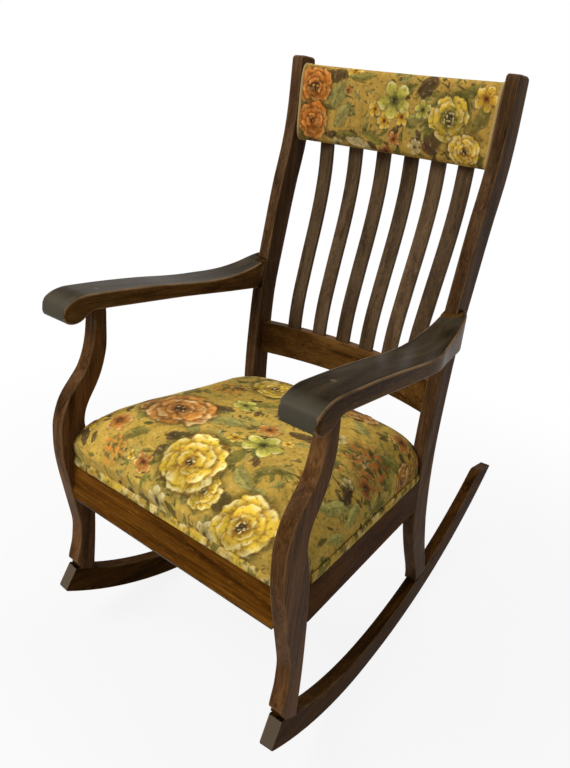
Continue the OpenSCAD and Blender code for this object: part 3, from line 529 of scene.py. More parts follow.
class Print:
    """Paint laid on the points of a cloth, whose places on it are in metres."""

    def __init__(self, places, seed, shift=0.0):
        self.p = places
        self.rng = np.random.RandomState(seed)
        self.rgb = np.tile(GROUND, (len(places), 1))
        under = places + shift
        self.field = step(-0.25, 0.25, fbm(under, 9, seed + 40, 2))
        wash = fbm(under, 14, seed + 3)
        self.lay(EVERY, GROUND * 1.13, step(0.0, 0.7, wash) * 0.7)
        self.lay(EVERY, GROUND * 0.82, step(0.0, 0.7, -wash) * 0.6)
        self.lay(EVERY, SAGE, self.field * step(-0.1, 0.45, fbm(under, 24, seed + 9)) * 0.5)

    def around(self, centre, reach, turn=0.0):
        """Points in a square round a place, how far they are from it along a turn, and across it."""
        x, y = (self.p - centre).T
        k = np.where((np.abs(x) < reach) & (np.abs(y) < reach))[0]
        c, s = math.cos(turn), math.sin(turn)
        return k, x[k] * c + y[k] * s, y[k] * c - x[k] * s

    def lay(self, k, colour, alpha):
        """Covers points with a colour, more where alpha is near 1."""
        self.rgb[k] += (colour - self.rgb[k]) * alpha[:, None]

    def petal(self, centre, turn, length, width, tones, shade):
        """A rounded petal with a dark root, an uneven pale hem and a soft shadow under it."""
        root, tip, rim = tones
        seed = self.rng.randint(90)
        k, x, y = self.around(centre, 1.5 * max(length, width), turn)
        u = x / length
        wobble = noise2(self.p[k], 1.5 / length, seed) * 0.22
        r = np.hypot(u, y / (width * (0.82 + 0.18 * u))) + wobble
        self.lay(k, root * 0.35, step(1.4, 0.95, r) * shade)
        body = step(1.05, 0.93, r)
        veins = noise2(np.stack([y / width * 4.5, u * 0.7], 1), 1.0, seed) * 0.3
        share = np.clip((u + 1.1) / 1.7 + veins + wobble, 0, 1)[:, None]
        self.lay(k, root * (1 - share) + tip * share, body * 0.96)
        patchy = step(-0.35, 0.35, noise2(self.p[k], 0.9 / length, seed + 5))
        self.lay(k, rim, body * step(0.5, 0.95, r) * step(-0.3, 0.6, u) * patchy * 0.85)

    def rose(self, centre, radius, tones, heart=0.2, squash=1.0):
        """A full flower: rings of petals that get smaller towards a dark, flecked heart."""
        rng = self.rng
        k, x, y = self.around(centre, 1.6 * radius)
        d = np.hypot(x, y / squash) / radius + 0.3 * noise2(self.p[k], 1.6 / radius, 5)
        self.lay(k, OLIVE * 0.45, step(1.3, 0.85, d) * 0.6)
        for away, count, size in ((0.6, 6, 0.46), (0.38, 5, 0.38), (0.18, 3, 0.27)):
            start = rng.uniform(0, math.tau)
            for j in range(count):
                a = start + math.tau * (j + rng.uniform(-0.2, 0.2)) / count
                s = size * radius * rng.uniform(0.8, 1.15)
                lit = rng.uniform(0.72, 1.12) + 0.14 * math.sin(a)
                spot = centre + away * radius * rgb(math.cos(a), math.sin(a) * squash)
                self.petal(spot, a, s * 0.8, s * 1.2, [t * lit for t in tones], 0.55)
        k, x, y = self.around(centre, 2.2 * heart * radius)
        d = np.hypot(x, y / squash) / (heart * radius) + 0.25 * noise2(self.p[k], 150, 8)
        self.lay(k, tones[0] * 0.5, step(1.8, 0.9, d) * 0.85)
        self.lay(k, INK * 0.6, step(1.0, 0.5, d) * 0.9)
        self.lay(k, tones[2], step(0.15, 0.5, noise2(self.p[k], 250, 2)) * step(1.3, 0.8, d) * 0.8)

    def bloom(self, centre, radius, tones):
        """A flat flower of separate petals round a dark eye."""
        petals = 5
        start = self.rng.uniform(0, math.tau)
        for j in range(petals):
            a = start + math.tau * (j + self.rng.uniform(-0.1, 0.1)) / petals
            lit = self.rng.uniform(0.84, 1.12)
            spot = centre + 0.54 * radius * rgb(math.cos(a), math.sin(a))
            self.petal(spot, a, radius * 0.46, radius * 0.4, [t * lit for t in tones], 0.4)
        k, x, y = self.around(centre, 0.5 * radius)
        d = np.hypot(x, y) / radius
        self.lay(k, tones[0] * 0.7, step(0.34, 0.2, d) * 0.9)
        self.lay(k, INK * 0.8, step(0.2, 0.1, d) * 0.85)

    def leaf(self, centre, length, width, turn, colour, ink=0.35):
        """A pointed leaf with a light and a dark half and a midrib."""
        seed = self.rng.randint(90)
        k, x, y = self.around(centre, 1.1 * length, turn)
        u = x / length
        v = y / width + 0.22 * np.sin(u * 2.6 + seed) + 0.15 * noise2(self.p[k], 1.5 / width, seed)
        side = np.clip(1 - u * u, 0, 1) ** 0.8 - np.abs(v)
        body = step(-0.06, 0.16, side) * (np.abs(u) < 1)
        tone = colour * (1 + 0.22 * np.tanh(v * 5)[:, None])
        tone = tone * (1 + 0.25 * noise2(self.p[k], 3 / length, seed + 1)[:, None])
        self.lay(k, tone, body * 0.85)
        rib = step(0.16, 0.04, np.abs(v)) + 0.6 * step(0.25, 0.05, np.abs(np.sin(u * 8 + np.abs(v) * 4)))
        self.lay(k, INK, body * np.clip(rib, 0, 1) * ink)
        self.lay(k, INK, step(-0.16, -0.02, side) * step(0.12, 0.02, side) * (np.abs(u) < 1) * ink)

    def stroke(self, start, turn, length, thick, bend, colour, alpha):
        """A curved line of the brush that thins towards its end."""
        k, x, y = self.around(start, 1.2 * length, turn)
        u = x / length
        d = np.abs(y - bend * length * u * u) / thick
        body = step(1.0, 0.4, d) * step(-0.02, 0.08, u) * step(1.0, 0.5, u)
        self.lay(k, colour, body * alpha)

    def spots(self, centre, radius, colour):
        """A cluster of small blooms, drawn as broken spots."""
        k, x, y = self.around(centre, 1.4 * radius)
        p = self.p[k]
        d = np.hypot(x, y) / radius
        fade = step(1.15, 0.5, d + 0.3 * noise2(p, 2.0 / radius, 4))
        spots = fbm(p, 95, self.rng.randint(90), 2)
        self.lay(k, INK, fade * step(-0.05, 0.3, -spots) * 0.7)
        self.lay(k, colour, fade * step(-0.05, 0.3, spots) * 0.9)
        self.lay(k, colour * 1.6, fade * step(0.3, 0.55, spots) * 0.6)

    def foliage(self, reach, leaves, strokes):
        """Small leaves, buds and stems as far out as reach, mostly where the field is green."""
        rng = self.rng
        shades = (OLIVE, MOSS, SAGE, OLIVE * 0.6, BROWN * 1.5, MOSS * 0.7)
        for i in range(leaves):
            spot = rng.uniform(-reach, reach)
            long = rng.uniform(0.005, 0.015)
            turn = rng.uniform(0, math.tau)
            shade = shades[rng.randint(len(shades))]
            if rng.uniform() < 0.3 + self.here(spot):
                self.leaf(spot, long, long * rng.uniform(0.3, 0.5), turn, shade, 0.4)
        for i in range(leaves // 20):
            long = rng.uniform(0.008, 0.015)
            self.leaf(rng.uniform(-reach, reach), long, long * 0.5, rng.uniform(0, 6), BROWN, 0.5)
            tones = (ORANGE_ROSE, CREAM_BLOOM, RUSTY, YELLOW_ROSE)[rng.randint(4)]
            self.bloom(rng.uniform(-reach, reach), rng.uniform(0.008, 0.016), tones)
        for i in range(strokes):
            spot = rng.uniform(-reach, reach)
            turn = rng.uniform(0, math.tau)
            length = rng.uniform(0.008, 0.024)
            bend = rng.uniform(-0.7, 0.7)
            shade = (INK, OLIVE * 0.5, OLIVE * 0.8)[rng.randint(3)]
            self.stroke(spot, turn, length, 0.002, bend, shade, 0.15 + 0.8 * self.here(spot))

    def here(self, spot):
        """How green the field is at a place."""
        k = self.around(spot, 0.004)[0]
        return self.field[k].mean() if len(k) else 0.0

    def by_hand(self, leaves, dark_leaves, spots, roses, blooms):
        """Lays the leaves and flowers that have a place of their own, from rows in millimetres."""
        for x, y, length, width, turn, tone in leaves:
            self.leaf(metres(x, y), *metres(length, width), turn, tone)
        for x, y, length, width, turn in dark_leaves:
            self.leaf(metres(x, y), *metres(length, width), turn, BROWN, 0.5)
        for x, y, radius, tone in spots:
            self.spots(metres(x, y), *metres(radius), tone)
        for x, y, radius, *more in roses:
            self.rose(metres(x, y), *metres(radius), *more)
        for x, y, radius, tones in blooms:
            self.bloom(metres(x, y), *metres(radius), tones)

    def finished(self):
        """The print with the unevenness of inks on cotton."""
        self.lay(EVERY, INK, step(0.36, 0.65, noise2(self.p, 190, 61)) * 0.55)
        self.lay(EVERY, CREAM, step(0.36, 0.7, noise2(self.p, 170, 71)) * 0.2)
        tone = 1 + 0.16 * fbm(self.p, 60, 81, 3) + 0.07 * noise2(self.p, 380, 91)
        return np.clip(self.rgb * tone[:, None], 0, 1)


def cloth_material(name):
    """Printed cotton: the print times a plain weave, with a soft sheen."""
    m = Tree(name)
    printed = add(m.t, "ShaderNodeVertexColor", layer_name="print")
    weave = m.weave(0.12, 900, 2, 0.6)
    stain = m.noise(m.mapped(), 5, 4, 0.6)
    tone = m.mix(1.0, printed, m.grey(weave, [(0.3, 0.8), (0.7, 1.15)]), "MULTIPLY")
    worn = m.ramp(stain, [(0.3, (0.92, 0.89, 0.86)), (0.7, (1.05, 1.04, 1.02))])
    m.set(Base_Color=m.mix(1.0, tone, worn, "MULTIPLY"), Roughness=0.84, Sheen_Weight=0.03,
          Sheen_Roughness=0.5, Sheen_Tint=(1.0, 0.85, 0.6, 1), Specular_IOR_Level=0.08,
          Normal=m.bump(weave, 0.35, 0.0006))
    return m.mat


def mesh_object(name, points, faces):
    """A smooth mesh from points in millimetres from the toe."""
    world = np.asarray(points, float) * MM
    world[:, 1] += toe
    mesh = bpy.data.meshes.new(name)
    mesh.from_pydata([tuple(v) for v in world], [], [tuple(int(i) for i in f) for f in faces])
    mesh.update()
    for p in mesh.polygons:
        p.use_smooth = len(p.vertices) <= 4
    return add_object(name, mesh)


def make_mesh(name, points, faces, material):
    """A piece of the chair made of new mesh."""
    obj = mesh_object(name, points, faces)
    obj.data.materials.append(material)
    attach(obj, "root")
    return obj


def paint(obj, colours):
    """Stores a colour for each point, for the cloth material."""
    layer = obj.data.color_attributes.new("print", "FLOAT_COLOR", "POINT")
    rgba = np.concatenate([colours, np.ones((len(colours), 1))], 1)
    layer.data.foreach_set("color", rgba.astype(np.float32).ravel())


def grid_faces(rows, columns, ring=False):
    """Quads of a grid of points, whose rows may close to rings."""
    k = np.arange(rows * columns).reshape(rows, columns)
    if ring:
        k = np.hstack([k, k[:, :1]])
    return np.stack([k[:-1, :-1], k[:-1, 1:], k[1:, 1:], k[1:, :-1]], -1).reshape(-1, 4)


# Seat: a domed cloth over the rails, cut round the posts and swollen over the front rail
# The plan is rounder in the middle and squarer at the edge, as powers of a superellipse
PLAN_MIDDLE, PLAN_EDGE = 3.0, 13.0
DOME_POWER, DOME_SHARE = 5.4, 0.42
HEM_H = 6.0
FULLNESS = -1.6
FRONT_SWELL = 15.0
SWELL_FROM, SWELL_TO = 0.7, 0.985
REAR_FALL = 8.0
SKIRT = 4.0
# Rings of the grid: even up to the rim, then closer and closer
RIM = 0.2
EVEN_RINGS, RIM_RINGS = 30, 90
RIM_POWER = 1.8
SEAT_GRID = 401
# Unevenness of the stuffing, and the draw of the fixings at the edge with its ripple
SETTLING = 1.8
DRAW_IN = 0.6
RIPPLE = 1.1
RIPPLE_REACH = 230.0


def superellipse(f, power):
    """Reach of a rounded square at angle f."""
    return (np.abs(np.cos(f)) ** power + np.abs(np.sin(f)) ** power) ** (-1 / power)


def seat_points(t, f):
    """Points of the dome at ring t (0 centre, 1 edge) and angle f."""
    q = superellipse(f, PLAN_MIDDLE + (PLAN_EDGE - PLAN_MIDDLE) * t ** 6)
    rise = np.clip((t - SWELL_FROM) / (SWELL_TO - SWELL_FROM), 0, 1) ** 2
    fall = np.clip((1 - t) / (1 - SWELL_TO), 0, 1) ** 0.5
    ahead = np.clip(-np.sin(f) * q, 0, 1) ** 6
    reach = SEAT_C + q * np.sin(f) * (SEAT_R - COVER_IN) * t
    y = reach - FRONT_SWELL * np.minimum(rise, fall) * ahead
    x = q * np.cos(f) * (side_x(reach) - COVER_IN) * t
    top = CROWN - HEM_H - COVER_IN + FULLNESS
    z = RAIL_Z + HEM_H + top * np.clip(1 - t ** DOME_POWER, 0, 1) ** DOME_SHARE
    z = z - REAR_FALL * (y - SEAT_C) / SEAT_R * (1 - t * t)
    return x, y, z


def seat_grid():
    """Points of an even grid laid over the dome, their places on the flat cloth, and their rings."""
    u = np.linspace(-1, 1, SEAT_GRID)
    a, b = [v.ravel() for v in np.meshgrid(u, u)]
    r = np.maximum(np.abs(a), np.abs(b))
    f = np.arctan2(b, a)
    even = np.linspace(0, 1 - RIM, EVEN_RINGS)
    ts = np.concatenate([even, 1 - RIM * np.linspace(1, 0, RIM_RINGS)[1:] ** RIM_POWER])
    x, y, z = seat_points(ts, np.zeros_like(ts))
    length = np.concatenate([[0], np.cumsum(np.hypot(np.diff(x), np.diff(z)))])
    s = r * (length[-1] + SKIRT)
    t = np.interp(s, length, ts)
    x, y, z = seat_points(t, f)
    z = z - np.clip(s - length[-1], 0, None)
    side = seat_points(t, np.zeros_like(t))[0]
    out = np.where(side > 1, s / np.maximum(side, 1), 1.0)
    cloth = np.stack([x, y - SEAT_C], 1) * out[:, None] * MM
    return np.stack([x, y, z], 1), cloth, r


# Gap between the cloth and the posts
POST_GAP = 0.5
# Places of the rear edge of a front post: share of its height and share of its belly
POST_BACK = [(0.35, 0.74), (0.43, 0.63), (0.49, 0.5), (0.55, 0.28), (0.59, 0.13), (0.63, 0.14),
             (0.67, 0.3), (0.725, 0.65), (0.775, 0.88)]


def post_back_y(z):
    return np.interp((z - POST_Z) / POST_H, *zip(*POST_BACK)) * BELLY


def push_out(p, face, edge, ahead):
    """Moves points out of a post outside face that stands ahead of depth edge, or behind it."""
    side = np.sign(p[:, 0])
    dx = np.abs(p[:, 0]) - face
    dy = edge - p[:, 1] if ahead else p[:, 1] - edge
    hit = (dx > 0) & (dy > 0)
    inward = hit & (dx < dy)
    p[inward, 0] = (side * face)[inward]
    rest = hit & ~inward
    p[rest, 1] = np.broadcast_to(edge, len(p))[rest]


def clear_posts(p):
    """Cuts the cloth round the front and back posts."""
    inner = HALF_W - POST_T - POST_GAP
    push_out(p, np.full(len(p), inner), post_back_y(p[:, 2]) + POST_GAP, True)
    push_out(p, inner_x(p[:, 2]) - POST_GAP, WAIST_Y - POST_GAP, False)


# Leaves: place, length and width in millimetres on the flat cloth, turn, tone. Dark ones are brown.
SEAT_LEAVES = (
    (-20, -85, 40, 15, 0.3, SAGE), (-45, -125, 28, 11, 2.4, SAGE), (60, -150, 26, 11, 1.2, OLIVE),
    (30, -130, 26, 10, 0.4, MOSS), (-110, -190, 26, 10, 0.8, OLIVE), (-140, -145, 24, 10, 2.2, MOSS),
    (100, -170, 28, 12, 2.6, SAGE), (120, -140, 26, 10, 0.9, OLIVE), (-150, -30, 30, 12, 1.9, OLIVE),
    (-20, 20, 32, 12, 0.6, MOSS), (160, -50, 28, 11, 1.4, OLIVE), (210, 90, 30, 12, 1.1, MOSS),
    (130, 90, 28, 11, 2.8, SAGE), (60, 90, 32, 13, 0.2, OLIVE), (-90, 100, 32, 13, 2.5, MOSS),
    (-200, 30, 28, 11, 1.5, OLIVE), (220, -100, 34, 12, 1.2, SAGE * 1.5),
    (245, -70, 30, 10, 1.9, SAGE * 1.4), (195, -130, 30, 11, 0.6, SAGE * 1.5),
    (260, -130, 26, 9, 1.4, SAGE * 1.3), (255, 20, 28, 10, 1.7, OLIVE), (150, 0, 26, 10, 0.4, MOSS * 1.3),
    (165, -100, 22, 9, 2.4, OLIVE), (235, 60, 22, 8, 0.9, MOSS), (-30, 170, 32, 12, 1.0, OLIVE),
    (100, 190, 32, 12, 2.1, MOSS))
SEAT_DARK_LEAVES = (
    (-52, -51, 20, 12, 0.2), (-174, 83, 18, 11, 1.0), (-204, -223, 24, 11, 1.7), (90, -26, 24, 12, 0.1),
    (-44, -157, 24, 9, 0.6), (98, -216, 16, 14, 0.6), (115, -20, 16, 12, 1.8), (215, -60, 20, 10, 1.9),
    (60, -75, 16, 6, 0.3), (-100, 200, 20, 10, 1.2), (190, 200, 20, 10, 2.2), (20, 120, 20, 10, 0.4))
# Flowers: place and radius in millimetres, tones, and for some roses the dark heart and squash
SEAT_SPOTS = (
    (188, 28, 50, RUST * 1.3), (-130, -225, 28, ORANGE), (20, 60, 42, YELLOW * 0.7),
    (-110, 20, 28, ORANGE), (230, 170, 35, RUST * 1.2))
SEAT_ROSES = (
    (-140, -122, 26, ORANGE_ROSE, 0.1), (-97, -103, 58, ORANGE_ROSE, 0.2, 0.85),
    (62, -214, 30, YELLOW_ROSE), (10, -188, 54, YELLOW_ROSE, 0.15),
    (152, -232, 52, YELLOW_ROSE), (-60, 90, 42, YELLOW_ROSE),
    (245, 125, 30, ORANGE_ROSE), (80, 150, 46, ORANGE_ROSE),
    (-160, 170, 44, YELLOW_ROSE), (-250, 0, 34, YELLOW_ROSE))
SEAT_BLOOMS = (
    (72, -97, 32, LEMON_BLOOM), (44, -50, 20, ORANGE_ROSE), (30, -112, 14, YELLOW_ROSE),
    (184, 153, 24, ORANGE_ROSE), (-159, -179, 24, ORANGE_ROSE), (-62, -222, 18, ORANGE_ROSE),
    (-214, -194, 26, YELLOW_ROSE), (-180, -100, 20, RUSTY), (-40, -10, 22, LEMON_BLOOM),
    (220, -10, 18, RUSTY), (130, 20, 16, CREAM_BLOOM), (-10, -260, 20, CREAM_BLOOM),
    (100, -265, 18, CREAM_BLOOM), (200, -170, 16, RUSTY))


def seat_print(places):
    art = Print(places, 3)
    art.foliage(metres(300, 280), leaves=640, strokes=900)
    art.by_hand(SEAT_LEAVES, SEAT_DARK_LEAVES, SEAT_SPOTS, SEAT_ROSES, SEAT_BLOOMS)
    return art.finished()


# The simulated cloth takes one in so many points of the seat's mesh
TRIAL_STEP = 5
TRIAL_FRAMES = 20
TRIAL_QUALITY = 6
TRIAL_MASS = 0.3
TRIAL_PRESSURE = 4.0
# Rings between which the hold on the cloth grows to full
HELD_FROM, HELD_TO = 0.8, 0.93
# Most that a point may move
SWELL_CAP = 4.5


def finer(values):
    """Values of a coarse square grid on the seat's own one."""
    coarse = np.linspace(0, 1, len(values))
    fine = np.linspace(0, 1, SEAT_GRID)
    rows = np.stack([np.interp(fine, coarse, v) for v in values])
    return np.stack([np.interp(fine, coarse, v) for v in rows.T]).T


def swell(p, r):
    """Lets the cloth swell over its stuffing in a cloth simulation, held at its edge."""
    k = np.arange(SEAT_GRID ** 2).reshape(SEAT_GRID, -1)[::TRIAL_STEP, ::TRIAL_STEP]
    n = len(k)
    trial = mesh_object("trial_cloth", p[k.ravel()], grid_faces(n, n))
    start = np.array([v.co for v in trial.data.vertices])
    held = trial.vertex_groups.new(name="held")
    for i, out in enumerate(r[k.ravel()]):
        held.add([i], float(step(HELD_FROM, HELD_TO, out)), "REPLACE")
    cloth = trial.modifiers.new("cloth", "CLOTH")
    cloth.settings.quality = TRIAL_QUALITY
    cloth.settings.mass = TRIAL_MASS
    cloth.settings.use_pressure = True
    cloth.settings.uniform_pressure_force = TRIAL_PRESSURE
    cloth.settings.effector_weights.gravity = 0
    cloth.settings.vertex_group_mass = "held"
    cloth.point_cache.frame_end = TRIAL_FRAMES
    for frame_number in range(1, TRIAL_FRAMES + 1):
        scene.frame_set(frame_number)
    shown = trial.evaluated_get(bpy.context.evaluated_depsgraph_get())
    end = np.array([v.co for v in shown.data.vertices])
    scene.frame_set(1)
    bpy.data.objects.remove(trial)
    moved = (end - start) / MM
    far = np.linalg.norm(moved, axis=1)
    moved *= np.minimum(1, SWELL_CAP / np.maximum(far, 1e-9))[:, None]
    return p + np.stack([finer(c.reshape(n, n)).ravel() for c in moved.T], 1)


def make_seat():
    p, cloth, r = seat_grid()
    p = swell(p, r)
    # The stuffing settles unevenly, and the fixings draw the edge in
    p[:, 2] += fbm(cloth, 9, 31, 3) * SETTLING * step(1.0, 0.8, r)
    walk = np.arctan2(p[:, 1] - SEAT_C, p[:, 0]) * RIPPLE_REACH
    line = np.stack([walk, np.zeros_like(walk)], 1)
    pull = step(0.84, 0.99, r) * step(1.02, 0.97, r)
    ripple = noise2(line, 0.045, 77) + 0.5 * noise2(line, 0.1, 78)
    out = np.stack([p[:, 0], p[:, 1] - SEAT_C], 1)
    out /= np.maximum(np.hypot(out[:, 0], out[:, 1]), 1)[:, None]
    p[:, :2] -= out * (pull * (DRAW_IN + ripple * RIPPLE))[:, None]
    clear_posts(p)
    faces = grid_faces(SEAT_GRID, SEAT_GRID)
    seat = make_mesh("seat_upholstery", p, faces, cloth_material("floral_seat"))
    paint(seat, seat_print(cloth))
    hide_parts("seat_cover", "seat_stuffing", "spring_burlap")


make_seat()


def sweep(path, section, first=0):
    """Points and faces of a closed section, as (outward, up), swept along a path in plan."""
    path = np.asarray(path, float)
    way = np.gradient(path[:, :2], axis=0)
    way /= np.hypot(way[:, 0], way[:, 1])[:, None]
    side, up = np.asarray(section, float).T
    x = path[:, 0, None] + way[:, 1, None] * side
    y = path[:, 1, None] - way[:, 0, None] * side
    z = path[:, 2, None] + up
    n, k = x.shape
    faces = [*grid_faces(n, k, True), np.arange(k)[::-1], (n - 1) * k + np.arange(k)]
    return np.stack([x, y, z], -1).reshape(-1, 3), [first + f for f in faces]


BORDER_SECTION = ((-2.7, 0.2), (-0.4, 0.2), (0.1, 1.0), (0.5, 4), (0.6, 8), (0.4, 11.5), (-0.2, 13.4),
                  (-1.2, 14.1), (-2.7, 14.2))
BORDER_POWER = 14.0
BORDER_STEPS = 2400
REAR_GAP = 0.6
# Tone, where its noise starts and is full, scale, seed, cover
BORDER_TONES = ((YELLOW, 0.0, 0.5, 26, 60, 0.5), (CREAM, 0.1, 0.5, 45, 65, 0.6),
                (OLIVE * 0.7, 0.1, 0.4, 60, 70, 0.8), (INK, 0.3, 0.6, 80, 75, 0.7))


def border_print(places, i):
    """Broken spots of the print's colours on the narrow band."""
    art = Print(places + i * 0.9, 20 + i)
    for tone, lo, hi, scale, seed, cover in BORDER_TONES:
        art.lay(EVERY, tone, step(lo, hi, fbm(art.p, scale, seed + i, 2)) * cover)
    return art.finished()


def make_border():
    """Flat bands on the front and side rails, from an outline walked from the front right corner."""
    f = np.linspace(-0.75 * np.pi, 1.25 * np.pi, BORDER_STEPS + 1)
    q = superellipse(f, BORDER_POWER)
    y = SEAT_C + q * np.sin(f) * SEAT_R
    x = q * np.cos(f) * side_x(y)
    side = (y > SIDE_Y - BAND / 2) & (y < WAIST_Y - REAR_GAP)
    fabric = cloth_material("floral_border")
    keeps = {"border_front": (np.abs(x) < HALF_W - POST_T - POST_GAP) & (y < SEAT_C),
             "border_left": (x > 0) & side, "border_right": (x < 0) & side}
    rise = np.array(BORDER_SECTION) @ (0.7, 1.0)
    for i, (name, keep) in enumerate(keeps.items()):
        path = np.stack([x[keep], y[keep], np.full(keep.sum(), RAIL_Z)], 1)
        band = make_mesh(name, *sweep(path, BORDER_SECTION), fabric)
        run = np.concatenate([[0], np.cumsum(np.hypot(*np.diff(path[:, :2], axis=0).T))])
        places = np.stack([np.repeat(run, len(rise)), np.tile(rise, len(path))], 1) * MM
        paint(band, border_print(places, i))
        if name == "border_front":
            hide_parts("seat_border")


make_border()


# Headrest: cloth drawn round a padded rail, with a welt at each end
HEAD_BOW, HEAD_BACK_BOW = 11.0, 36.0
HEAD_POWER = 4.5
HEAD_LOW, HEAD_HIGH = span("headrest_cover", 2)
HEAD_Z = (HEAD_LOW + HEAD_HIGH) / 2
HEAD_HALF = (HEAD_HIGH - HEAD_LOW) / 2
HEAD_FRONT = span("headrest_cover", 1)[0]
HEAD_BACK = span("headrest_cover", 1)[1] - HEAD_BACK_BOW
END_GAP = 0.4
HEAD_ACROSS, HEAD_ROUND = ((301, 281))
# Most that the stuffing swells the cloth, and its unevenness
HEAD_SWELL = 1.6
HEAD_LUMP = 0.9
# The headrest's cloth is a little duller than the seat's
HEAD_FADE = (0.8, 0.76, 0.8)


def head_point(s, f, grow):
    """Point at s (-1 to 1 across) and angle f round the headrest, raised off its cloth by grow."""
    q = superellipse(f, HEAD_POWER)
    z = HEAD_Z + q * np.sin(f) * (HEAD_HALF + grow)
    x = s * (inner_x(z) - END_GAP)
    arch = 1 - (x / inner_x(HEAD_Z)) ** 2
    y0 = HEAD_FRONT + HEAD_BOW * arch
    y1 = HEAD_BACK + HEAD_BACK_BOW * arch
    y = (y0 + y1) / 2 - q * np.cos(f) * ((y1 - y0) / 2 + grow)
    return x, y, z


HEAD_LEAVES = (
    (-115, 20, 26, 16, 1.5, SAGE), (-100, -15, 26, 14, 0.9, SAGE), (-85, -50, 30, 10, 0.1, OLIVE),
    (-30, -45, 24, 9, 2.9, MOSS), (50, 0, 24, 11, 0.3, SAGE), (170, 10, 28, 12, 1.2, OLIVE),
    (-70, 56, 28, 8, 0.1, MOSS), (140, 50, 28, 9, 0.4, OLIVE), (-60, -60, 30, 10, 2.8, CREAM * 0.8))
HEAD_DARK_LEAVES = (
    (-125, 55, 22, 13, 0.3), (62, 52, 24, 16, 1.5), (88, -42, 20, 17, 1.9), (-120, -50, 14, 7, 0.2),
    (10, -30, 13, 7, 1.0))
HEAD_ROSES = (
    (-165, 30, 38, DEEP_ORANGE), (-163, -30, 34, DEEP_ORANGE, 0.1),
    (112, 4, 40, (MOSS, YELLOW, CREAM), 0.3), (150, -45, 30, YELLOW_ROSE))
HEAD_BLOOMS = (
    (-34, 4, 14, YELLOW_ROSE), (-12, -14, 15, YELLOW_ROSE), (22, -4, 15, YELLOW_ROSE),
    (2, 22, 32, LEMON_BLOOM), (12, -42, 13, ORANGE_ROSE), (60, 12, 16, LEMON_BLOOM),
    (172, 40, 22, YELLOW_ROSE), (55, -50, 14, CREAM_BLOOM))


def head_print(places):
    art = Print(places, 12, 0.31)
    art.foliage(metres(200, 160), leaves=300, strokes=420)
    art.by_hand(HEAD_LEAVES, HEAD_DARK_LEAVES, (), HEAD_ROSES, HEAD_BLOOMS)
    return art.finished() * HEAD_FADE


def make_headrest():
    s = np.repeat(np.linspace(-1, 1, HEAD_ACROSS), HEAD_ROUND)
    f = np.tile(np.linspace(0, math.tau, HEAD_ROUND), HEAD_ACROSS)
    x, y, z = head_point(s, f, 0.0)
    # Distance walked round the section from the middle of the front
    ring = np.stack([y, z], 1).reshape(HEAD_ACROSS, HEAD_ROUND, 2)
    walked = np.hypot(*np.diff(ring, axis=1).transpose(2, 0, 1))
    w = np.concatenate([np.zeros((HEAD_ACROSS, 1)), np.cumsum(walked, 1)], 1)
    total = w[:, -1:]
    w = np.where(w > total / 2, w - total, w)
    cloth = np.stack([x, w.ravel()], 1) * MM
    facing = np.cos(f)
    swell = (1 - np.abs(s) ** 6) * (1 - np.clip(np.abs(z - HEAD_Z) / HEAD_HALF, 0, 1) ** 4)
    lump = fbm(cloth, 12, 91, 3) * (1 - np.abs(s) ** 8)
    y = y - np.sign(facing) * (swell * HEAD_SWELL + lump * HEAD_LUMP) * np.abs(facing) ** 0.5
    faces = grid_faces(HEAD_ACROSS, HEAD_ROUND)[:, ::-1]
    head = make_mesh("headrest_upholstery", np.stack([x, y, z], 1), faces,
                     cloth_material("floral_headrest"))
    paint(head, head_print(cloth))
    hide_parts("headrest_cover", "headrest_padding")


make_headrest()

# Places across and height above the cover for the welt, from its inner to its outer side
WELT_SECTION = ((0.97, -0.4), (0.9705, 0.5), (0.975, 1.25), (0.985, 1.6), (0.994, 1.3), (0.999, 0.6),
                (0.9995, -0.4))
WELT_SIDES = 96


def make_welts():
    m = Tree("welt_cloth")
    twill = m.noise(m.mapped(), 700, 3)
    m.set(Base_Color=m.ramp(twill, [(0.3, (0.24, 0.155, 0.045)), (0.7, (0.42, 0.29, 0.1))]),
          Roughness=0.85, Normal=m.bump(twill, 0.4, 0.0005))
    f = np.linspace(0, math.tau, WELT_SIDES, endpoint=False)
    for side, name in ((-1, "welt_right"), (1, "welt_left")):
        rows = [np.stack(head_point(np.full_like(f, side * s), f, g), 1) for s, g in WELT_SECTION]
        faces = grid_faces(len(rows), WELT_SIDES, True)
        welt = make_mesh(name, np.concatenate(rows), faces[:, ::-1] if side > 0 else faces, m.mat)
        if side < 0:
            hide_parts("headrest_piping")


make_welts()


# Underside: woven straps and a dust cloth tacked under the rails
def jute(name, dark, light, scale):
    """A coarse plain weave of two tones."""
    m = Tree(name)
    weave = m.weave(0.1, scale, 3)
    m.set(Base_Color=m.ramp(weave, [(0.35, dark), (0.65, light)]), Roughness=0.92,
          Normal=m.bump(weave, 0.5, 0.0008))
    return m.mat


STRAP_N = 5
STRAP_PITCH = (WAIST_HALF / 4, 0.14 * WAIST_Y)
STRAP_W = 45.0
STRAP_T = 1.1
STRAP_LIFT = 0.78
STRAP_MID = 1.5
STRAP_END = 7.35
STRAP_FLAT = 2.0
RAIL_T = 21.0


def strap_path(place, ends, crossings, long, odd):
    """Path of a strap that weaves over and under those that it crosses."""
    half = STRAP_W / 2
    run = [ends[0], ends[0] + STRAP_FLAT, ends[1] - STRAP_FLAT, ends[1]]
    run[2:2] = [c + side for c in crossings for side in (-half, half)]
    turns = [1, 1, *np.repeat((-1.0) ** (odd + np.arange(STRAP_N)), 2), 1, 1]
    lift = -STRAP_LIFT if long else STRAP_LIFT
    z = [RAIL_UNDER - STRAP_MID + lift * turn for turn in turns]
    return [(place, v, up) if long else (v, place, up) for v, up in zip(run, z)]


